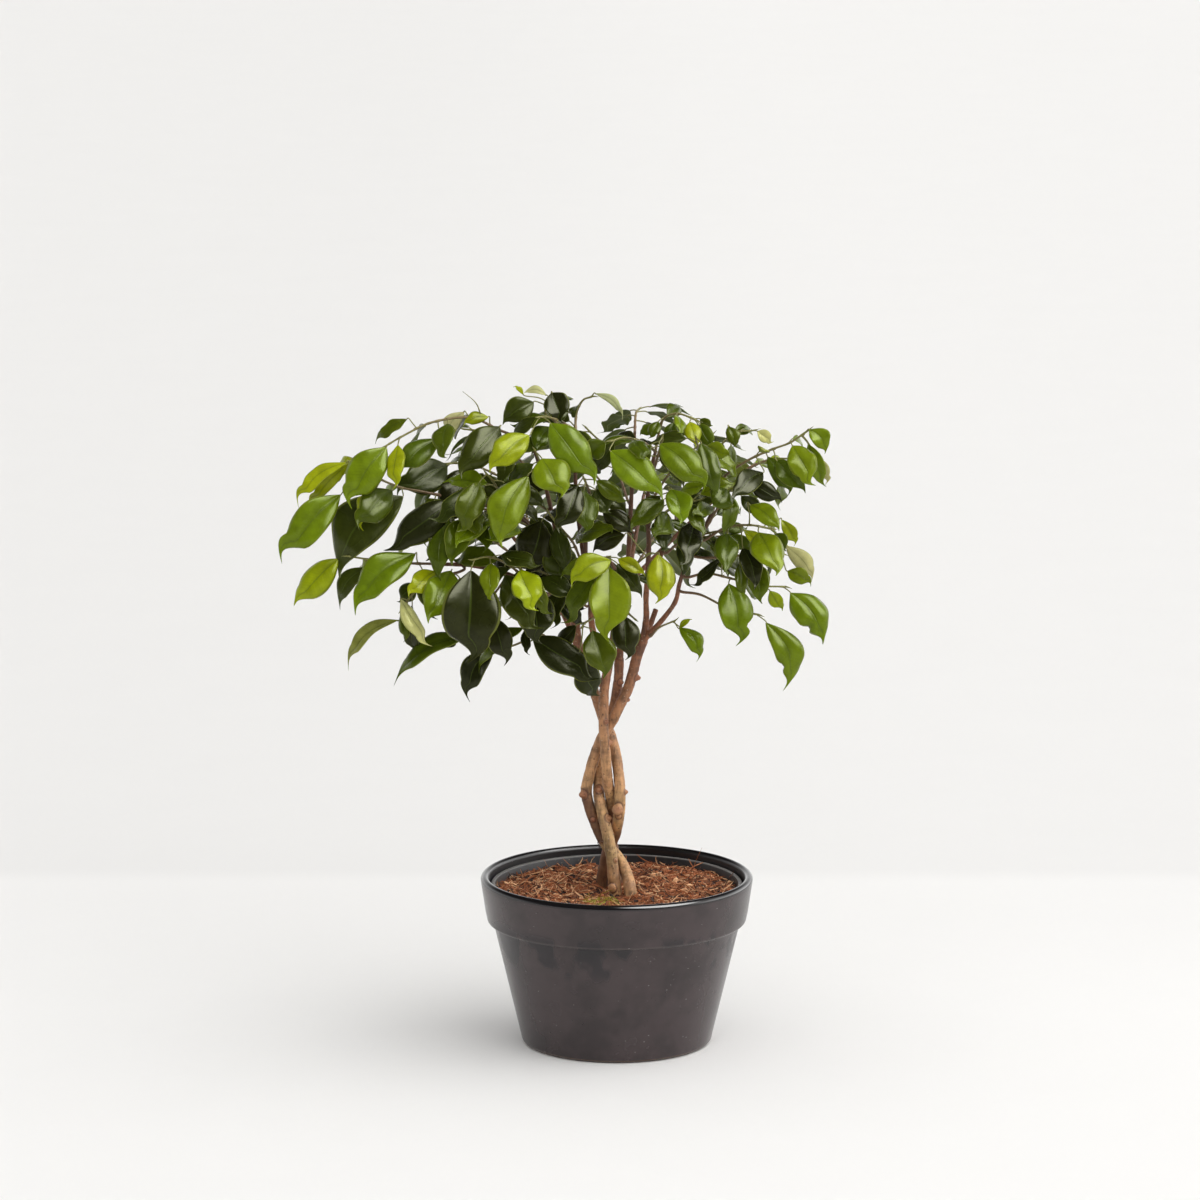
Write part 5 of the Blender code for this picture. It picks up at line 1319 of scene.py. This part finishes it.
def add_stubs(build, name):
    """Adds a strand's stubs, and gives each cut's centre, size and way out."""
    scars = []
    for owner, foot, end, first, last in STUBS:
        if owner == name:
            foot, end = metres((foot, end))
            route = [foot.lerp(end, t) for t in (0, 0.4, 0.8, 0.93, 1)]
            rise = [first, first, (first + last) / 2 + 0.2, last, last * 0.72]
            build.add(*tube(route, [r * MM for r in rise], STUB_SIDES))
            scars.append((end, last * 1.1 * MM, (end - foot).normalized()))
    return scars


def carved(build, grain):
    """The mesh of several closed forms made one and smoothed."""
    rough = build.made([])
    carve = rough.modifiers.new("carve", "REMESH")
    carve.mode, carve.voxel_size = "VOXEL", grain
    ease = rough.modifiers.new("ease", "SMOOTH")
    ease.factor, ease.iterations = 0.5, 3
    mesh = evaluated(rough, build.name)
    bpy.data.objects.remove(rough, do_unlink=True)
    return mesh


def weather(mesh, name, scars, others, uneven):
    """Makes a strand's surface uneven, rings its scars, and marks the points for the bark's shader, among
    them painted shade between the strands, in the grooves round the scars and low on some strands.
    """
    count = len(mesh.vertices)
    spots, normals = np.empty(count * 3, np.float32), np.empty(count * 3, np.float32)
    mesh.vertices.foreach_get("co", spots)
    mesh.vertex_normals.foreach_get("vector", normals)
    spots, normals = spots.reshape(-1, 3), normals.reshape(-1, 3)
    lift = np.array([lump(p) for p in spots.tolist()]) * uneven
    lift *= 1 - 0.6 * np.clip((spots[:, 2] - SMOOTH_FROM) / SMOOTH_OVER, 0, 1)
    # crease holds painted shade: where a strand lies close to another, and in the groove round a scar
    mark, crease = np.zeros(count), cleft(spots, others) * 0.9
    for centre, size, out in scars:
        offset = spots - np.array(centre)
        far = np.linalg.norm(offset, axis=1) / size
        facing = np.clip(offset @ np.array(out) / (far * size + 1e-9), -1, 1)
        near = np.clip(1.7 - far, 0, 1)
        swirl = near * np.cos(8 * np.arccos(facing) + 3 * far)
        mark = np.maximum(mark, near * 0.85 + swirl * 0.15)
        lift += SWIRL_HEIGHT * MM * swirl
        rim = np.exp(-((far - RIM_PLACE) / RIM_WIDTH) ** 2)
        lift -= RIM_DEPTH * MM * rim
        # Painted shade in the groove round a scar
        crease = np.maximum(crease, rim * 0.95)
    mesh.vertices.foreach_set("co", (spots + normals * lift[:, None]).astype(np.float32).ravel())
    # Painted shade, darker and redder, low on the strands where they stand in shadow
    bottom, top = PAINTED_SHADE_HEIGHTS.get(name, (0, 0))
    russet = (np.clip((spots[:, 2] / MM - bottom) / SHADE_HEIGHT_FADE[0], 0, 1)
              * np.clip((top - spots[:, 2] / MM) / SHADE_HEIGHT_FADE[1], 0, 1))
    rows = {"scar": mark, "crease": crease, "russet": russet}
    add_numbers(mesh, {key: row.astype(np.float32) for key, row in rows.items()})


def lump(point):
    """Unevenness of the bark: broad lumps, and short ridges across it."""
    x, y, z = point
    broad = noise.noise(Vector((x, y, z * 0.6)) / (7 * MM))
    ridge = noise.noise(Vector((x * 0.4, y * 0.4, z)) / (2.2 * MM))
    return broad + 0.45 * ridge


# ---------------------------------------------------------------- leafy shoots

def blade_green(settings):
    def plan(f):
        tint = f.attribute("tint", colour=True)
        along, across = f.attribute("along"), f.attribute("across")
        off = abs(across)
        midrib = f.step(off, 0.055, 0.02) * f.step(along, 1.0, 0.75)
        rays = (along * 22 - off * 2.6 + f.noise(40, 2) * 1.2).part()
        veins = f.step(abs(rays - 0.5), 0.2, 0.05) * f.step(off, 0.97, 0.4)
        margin = f.step(off, 0.89, 0.96)
        mottle = f.noise(95, 3, 0.55)
        # Darker near the midrib: painted shade in the fold
        colour = f.bright(tint, mottle * 1.1 + 0.5 - veins * 0.07 - f.step(off, 0.3, 0) * 0.15)
        colour = f.layers(colour, (midrib * 0.4, MIDRIB), (margin * 0.75, f.mix(0.4, tint, MARGIN)))
        relief = f.noise(480, 2) * 0.3 + f.noise(150, 3) * 1.1 - midrib * 1.2
        rough = settings.gloss + (f.noise(60, 2) - 0.5) * 0.2
        return {"Base Color": colour, "Roughness": rough, "Normal": f.bump(relief, 0.5, 0.3 * MM)}

    return finished("leaf_upper", plan, Specular_IOR_Level=0.21, Specular_Tint=LEAF_SHEEN)


def blade_under():
    def plan(f):
        tint = f.attribute("tint", colour=True)
        along, across = f.attribute("along"), f.attribute("across")
        off = abs(across)
        midrib = f.step(off, 0.07, 0.03) * f.step(along, 1.0, 0.8)
        veins = f.step(abs((along * 22 - off * 2.6).part() - 0.5), 0.2, 0.05)
        colour = f.mix(0.42, tint, UNDERSIDE)
        colour = f.bright(colour, f.noise(95, 3, 0.5) * 0.5 + 0.72 + veins * 0.12)
        colour = f.mix(midrib * 0.6, colour, UNDER_MIDRIB)
        relief = veins * 0.3 + midrib * 1.5 + f.noise(500, 2) * 0.3
        return {"Base Color": colour, "Normal": f.bump(relief, 0.4, 0.3 * MM)}

    return finished("leaf_underside", plan, Roughness=0.52)


def twig_skin(settings):
    def plan(f):
        streak = f.noise(300, 3, 0.6, f.stretched(f.place(), (1, 1, 0.5)))
        dots = f.step(f.cells(620), 0.25, 0.12)
        colour = f.mix(f.attribute("age"), settings.young_twig, settings.old_twig)
        colour = f.mix(dots * 0.3, f.bright(colour, streak * 0.8 + 0.6), TWIG_DOT)
        return {"Base Color": colour, "Normal": f.bump(streak + dots, 0.4, 0.3 * MM)}

    return finished("twig_skin", plan, Roughness=0.5)


UPPER, UNDER, TWIG = 0, 1, 2  # a shoot's finishes


def blade(base, end, normal, width, bow, bite, rng, settings):
    """Points, faces, finishes, along and across of one blade, thin and closed."""
    chord = end - base
    length = chord.length
    way = chord / length
    face = (normal - normal.dot(way) * way).normalized()
    side = way.cross(face)
    round_share = rng.uniform(*ROUNDNESS)
    stations = smooth_route([(t, egg + (full - egg) * round_share, 0) for t, egg, full in OUTLINE], 2)
    slim = rng.uniform(*SLIMNESS)
    bend = bow or rng.uniform(-BEND, BEND)
    hook = rng.uniform(*TIP_HOOK) * (1 if bend > 0 else -1)
    droop = rng.uniform(0.2, 1.0) * TIP_DROOP
    fold = settings.fold * rng.uniform(*FOLDS)
    curl = fold * rng.uniform(*CURL)
    waves, phase, ripple = rng.uniform(*WAVES), rng.uniform(0, math.tau), rng.uniform(*RIPPLE)
    ripple *= min(1.0, width / (20 * MM))
    uneven = rng.uniform(-UNEVEN, UNEVEN)
    upper, under, along, across = [], [], [], []
    twist = rng.uniform(-TWIST, TWIST)
    straight_side, straight_face = side, face
    for t, w, _ in stations:
        side = turn_about(straight_side, way, twist * (t - 0.4))
        face = turn_about(straight_face, way, twist * (t - 0.4))
        tip_part = max(0.0, (t - TIP_FROM) / TIP_SPAN)
        middle = (base + way * (t * length)
                  + face * length * (LEAF_ARCH * math.sin(math.pi * t) - droop * math.sin(math.pi * tip_part))
                  + side * length * (bend * math.sin(math.pi * t) + hook * math.sin(math.pi * tip_part)))
        half = max(width / 2 * w * slim, THIN_TIP)
        flat = 1 - t * 0.45
        for v in COLUMNS:
            a = abs(v)
            rise = half * (fold * a * flat - curl * a * a
                           + ripple * a ** 3 * math.sin(math.tau * waves * t + phase + (2.1 if v > 0 else 0)))
            bitten = 1 - bite[2] * math.exp(-((t - bite[0]) / bite[1]) ** 2) * (v * bite[3] > 0)
            spot = middle + side * (v * half * bitten * (1 + uneven * v)) + face * rise
            skin = settings.thick / 2 * (1 - 0.55 * a) * min(1, 0.35 + w)
            upper.append(spot + face * skin)
            under.append(spot - face * (skin + (RIB_DEPTH * (1 - t) if v == 0 else 0)))
            along.append(t)
            across.append(float(v))
    n, rows = len(COLUMNS), len(stations)
    points = upper + [p for k, p in enumerate(under) if k % n not in (0, n - 1)]
    inner = n - 2

    def low(i, j):
        return i * n + j if j in (0, n - 1) else rows * n + i * inner + j - 1

    faces, finishes = [], []
    for i in range(rows - 1):
        for j in range(n - 1):
            faces.append((i * n + j, i * n + j + 1, (i + 1) * n + j + 1, (i + 1) * n + j))
            faces.append((low(i, j), low(i + 1, j), low(i + 1, j + 1), low(i, j + 1)))
            finishes += [UPPER, UNDER]
    tip = len(points)
    points.append(end)
    last = rows - 1
    for j in range(n - 1):
        faces.append((last * n + j, last * n + j + 1, tip))
        faces.append((low(last, j + 1), low(last, j), tip))
        finishes += [UPPER, UNDER]
    faces.append(tuple(low(0, j) for j in range(n)) + tuple(range(n - 2, 0, -1)))
    finishes.append(UNDER)
    keep = [k for k in range(rows * n) if k % n not in (0, n - 1)]
    along = along + [along[k] for k in keep] + [1.0]
    across = across + [across[k] for k in keep] + [0.0]
    return points, faces, finishes, along, across


def tone_of(name, index, end, rng):
    """The letter of a leaf's tone: set for a leading leaf, and by how much light a filler stands in."""
    letters = SHOOTS[name][6]
    if index < len(letters):
        return letters[index]
    out = math.hypot(end.x - CROWN_MIDDLE, end.y) / CROWN_REACH
    high = (end.z - CROWN_MID_HEIGHT) / CROWN_HALF_HEIGHT
    front = max(0.0, -end.y / CROWN_DEPTH) if abs(end.x) < CROWN_SIDE else 0.5
    light = 0.5 * out ** 2 + 0.35 * high + 0.25 * front + rng.uniform(-0.3, 0.3)
    return next(letter for most, letter in LIT_TONES if light < most)


def shoot(name, limbs, settings, finishes):
    """One shoot: its twig from the branch on, with buds, stalks and blades where the model has them."""
    corners = Corners(name)
    twig = found_twig(name, corners)
    route, radii = twig
    build = Build(name + "_leaves", ("along", "across", "age"), ("tint",))

    def add_stem(points, radii, sides=STALK_SIDES, **values):
        build.add(*tube(points, radii, sides), finish=TWIG, **values)

    rng = random.Random(f"{name} looks")
    branch = SHOOTS[name][0]
    foot = nearest(limbs[branch], route[0])[0]
    line = smooth_route([foot, *route[1:]], 5)
    line, thick, places = evenly(line, taper(len(line), radii[0], radii[-1]), 1.6 * MM)
    rows = [found_leaf(name, i, twig, leading_leaf, corners) for i in range(len(SHOOTS[name][5]))]
    rows += [found_leaf(name, i, twig, filler_leaf, corners) for i in range(SHOOTS[name][3])]
    joints = []
    for index, (foot, base, end, normal, width, bow) in enumerate(rows):
        spot, way, share = nearest(line, foot)
        joints.append(share * places[-1])
        dice = random.Random(f"{name} leaf {index}")
        bite = BITES.get((name, index), (0, 1, 0, 0))
        points, faces, skins, along, across = blade(base, end, normal, width, bow, bite, dice, settings)
        run = (end - base).normalized()
        tint = np.array(getattr(settings, TONES[tone_of(name, index, end, dice)]))
        tint = tint * dice.uniform(0.85, 1.18)
        tint = tuple(tint * (dice.uniform(0.93, 1.08), 1, dice.uniform(0.8, 1.3)))
        build.add(points, faces, skins, along=along, across=across, tint=tint, age=0.0)
        out = (base - spot).normalized()
        reach = (base - spot).length
        turned = base + run * 1.2 * MM
        route = smooth_route([spot, spot + out * reach * 0.4 + UP * reach * 0.06,
                              base - run * reach * 0.12, turned], 3)
        narrow = [STALK_RADIUS * (1.5 if i == 0 else 1.15 - 0.3 * i / len(route)) for i in range(len(route))]
        add_stem(route, narrow, age=0.05, tint=tint)
        bud = spot + (out + way * 1.4).normalized() * BUD_LENGTH * MM
        add_stem([spot, spot.lerp(bud, 0.5), bud], [r * MM for r in BUD_RADII], age=0.6, tint=tint)
    swollen = [r * (1 + 0.28 * max(math.exp(-((s - j) / (1.6 * MM)) ** 2) for j in joints))
               for r, s in zip(thick, places)]
    ages = [max(0.0, 1 - (s / places[-1]) ** 1.4) for s in places]
    add_stem(line, swollen, TWIG_SIDES, age=[a for a in ages for _ in range(TWIG_SIDES)])
    way = (line[-1] - line[-3]).normalized()
    spike = [line[-1] - way * MM, line[-1] + way * 2 * MM, line[-1] + (way + jitter(rng, 0.2)) * 7 * MM]
    add_stem(smooth_route(spike, 3), [r * MM for r in SPIKE_RADII], age=0.0)
    for points in SPARE_TWIGS.get(name, ()):
        line = smooth_route(metres(points), 4)
        add_stem(line, taper(len(line), 0.7 * MM, 0.2 * MM), age=0.1)
    settle(build.made(finishes), "leaf", name)


# ---------------------------------------------------------------- stage

CAMERA_PLACE = (-0.01326, -4.63676, 1.24287)
CAMERA_TILT = 79.18  # degrees from straight down
CAMERA_LENS = 180
FLOOR_HALF = 40.0
FLOOR_TURN = 0.56  # beyond this the floor is a little darker
FLOOR_SOFT = 0.03  # to each side of the turn
FLOOR_FAR = 0.945  # how bright it is there
SOFT_LIGHT = (0.48, -0.38, 0.79)  # towards the middle of the soft light
BACKDROP = 0.87  # how bright the surroundings are to the camera
WALLS, WINDOW, LAMP, LOBE, ROOM = 1.3, 2.6, 14.0, 0.03, 0.015  # and in the gloss
KEY_HIGH, KEY_ROUND = 47, 66  # degrees above the floor, and round from the front to the right


def floor_finish(settings):
    def plan(f):
        across, depth = (f.split(f.place(), axis) for axis in range(2))
        back = f.step(depth, FLOOR_TURN - FLOOR_SOFT, FLOOR_TURN + FLOOR_SOFT)
        colour = f.mix(back, settings.floor, [c * FLOOR_FAR for c in settings.floor])
        # Darker to the left, a painted shadow of the crown, and darker towards the back
        left, deep = f.step(across, 0.45, -0.5), f.step(depth, 0.05, 0.5)
        return {"Base Color": f.bright(colour, f.noise(9, 4, 0.6) * 0.02 + 0.99 - left * 0.05 - deep * 0.045)}

    return finished("floor", plan, Roughness=0.9, Specular_IOR_Level=0.1)


def sky(settings):
    """Soft light from high on the right. In the gloss the walls are pale, but it is dim overhead and in
    front, where the room is dark."""
    world = bpy.data.worlds.new("studio")
    world.use_nodes = True
    f = Finish(world.node_tree)
    way = f.node("ShaderNodeTexCoord", output=0)
    high, front = f.split(way, 2), f.split(way, 1)
    facing = f.node("ShaderNodeVectorMath", {"operation": "DOT_PRODUCT"}, [way, SOFT_LIGHT], output=1)
    lobe = f.step(facing, 0.25, 1.0)
    walls = f.step(high, 0.55, 0.1) * f.step(front, -0.6, 0.1)
    window = f.step(f.split(way, 0), 0.3, 0.9) * f.step(high, 0.7, 0.3) * f.step(front, -0.6, 0.0)
    lamp = f.step(facing, 0.86, 0.96)
    gloss = walls * WALLS + window * WINDOW + lamp * LAMP + lobe * LOBE + ROOM
    soft = lobe * settings.soft + settings.fill
    seen = f.node("ShaderNodeLightPath", output=0)
    shiny = f.node("ShaderNodeLightPath", output=3).larger(f.node("ShaderNodeLightPath", output=6))
    strength = seen * BACKDROP + (1 - seen) * (shiny * gloss + (1 - shiny) * soft)
    back = world.node_tree.nodes["Background"]
    world.node_tree.links.new(strength.socket, back.inputs["Strength"])
    back.inputs["Color"].default_value = (1, 0.998, 0.992, 1)
    bpy.context.scene.world = world


def stage(settings):
    """The floor, the lights and the camera."""
    build = Build("floor")
    build.add([(x * FLOOR_HALF, y * FLOOR_HALF, 0) for x, y in ((-1, -1), (1, -1), (1, 1), (-1, 1))],
              [(0, 1, 2, 3)])
    build.made([floor_finish(settings)], smooth=False)
    sky(settings)
    data = bpy.data.lights.new("key", "SUN")
    data.energy, data.angle = settings.key, settings.spread
    data.color = (1, 0.99, 0.97)
    key = placed("key", data)
    high, turn = math.radians(KEY_HIGH), math.radians(KEY_ROUND)
    back = Vector((math.sin(turn) * math.cos(high), -math.cos(turn) * math.cos(high), math.sin(high)))
    key.rotation_euler = back.to_track_quat("Z", "Y").to_euler()
    lens = bpy.data.cameras.new("camera")
    lens.lens, lens.sensor_width = CAMERA_LENS, 36
    lens.clip_start, lens.clip_end = 0.1, 200
    camera = placed("camera", lens)
    camera.location = CAMERA_PLACE
    camera.rotation_euler = (math.radians(CAMERA_TILT), 0, 0)
    bpy.context.scene.camera = camera
    bpy.context.scene.view_settings.view_transform = "Standard"


# ---------------------------------------------------------------- operators and panel

class FIG_OT_stage(bpy.types.Operator):
    """Lay the floor, light it and set the camera"""

    bl_idname = "fig.stage"
    bl_label = "Stage"

    def execute(self, context):
        stage(context.scene.fig_stage)
        return {"FINISHED"}


class FIG_OT_glazed_pot(bpy.types.Operator):
    """Turn the glazed pot"""

    bl_idname = "fig.glazed_pot"
    bl_label = "Glazed pot"

    def execute(self, context):
        glazed_pot(context.scene.fig_pot)
        return {"FINISHED"}


class FIG_OT_grow_pot(bpy.types.Operator):
    """Turn the plastic grow pot and drill its drains"""

    bl_idname = "fig.grow_pot"
    bl_label = "Grow pot"

    def execute(self, context):
        grow_pot(context.scene.fig_pot)
        return {"FINISHED"}


class FIG_OT_soil(bpy.types.Operator):
    """Fill in the soil, with its crumbs, fibres and chips"""

    bl_idname = "fig.soil"
    bl_label = "Soil"

    def execute(self, context):
        soil_bed(context.scene.fig_soil)
        return {"FINISHED"}


class FIG_OT_strands(bpy.types.Operator):
    """Braid the four strands, with their branches, knobs and stubs"""

    bl_idname = "fig.strands"
    bl_label = "Strands"

    def execute(self, context):
        settings = context.scene.fig_bark
        skin = bark(settings)
        stems = strand_lines()
        for name, (line, radii) in stems.items():
            strand(name, line, radii, [row for other, row in stems.items() if other != name], settings, skin)
        return {"FINISHED"}


class FIG_OT_shoots(bpy.types.Operator):
    """Grow the leafy shoots on their branches"""

    bl_idname = "fig.shoots"
    bl_label = "Leafy shoots"

    def execute(self, context):
        settings = context.scene.fig_leaf
        limbs = {name: smooth_route(branch_route(name)[0], BRANCH_SPANS) for name in BRANCHES}
        finishes = [blade_green(settings), blade_under(), twig_skin(settings)]
        for name in SHOOTS:
            shoot(name, limbs, settings, finishes)
        return {"FINISHED"}


class FIG_PT_panel(bpy.types.Panel):
    """The fig's pieces and their settings"""

    bl_idname = "FIG_PT_panel"
    bl_label = "Weeping fig"
    bl_space_type = "VIEW_3D"
    bl_region_type = "UI"
    bl_category = "Weeping fig"

    def draw(self, context):
        for piece in PIECES:
            self.layout.operator(piece.bl_idname)
        for name, group in GROUPS.items():
            box = self.layout.box()
            for key in group.__annotations__:
                box.prop(getattr(context.scene, name), key)


GROUPS = {"fig_pot": FigPotSettings, "fig_soil": FigSoilSettings, "fig_bark": FigBarkSettings,
          "fig_leaf": FigLeafSettings, "fig_stage": FigStageSettings}
PIECES = (FIG_OT_glazed_pot, FIG_OT_grow_pot, FIG_OT_soil, FIG_OT_strands, FIG_OT_shoots, FIG_OT_stage)


def register():
    for kind in (*GROUPS.values(), *PIECES, FIG_PT_panel):
        bpy.utils.register_class(kind)
    for name, group in GROUPS.items():
        setattr(bpy.types.Scene, name, bpy.props.PointerProperty(type=group))


def unregister():
    for name in GROUPS:
        delattr(bpy.types.Scene, name)
    for kind in (FIG_PT_panel, *reversed(PIECES), *GROUPS.values()):
        bpy.utils.unregister_class(kind)


def main():
    register()
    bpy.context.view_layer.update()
    bpy.ops.fig.glazed_pot()
    bpy.ops.fig.grow_pot()
    bpy.ops.fig.soil()
    bpy.ops.fig.strands()
    bpy.ops.fig.shoots()
    bpy.ops.fig.stage()


if __name__ == "__main__":
    main()
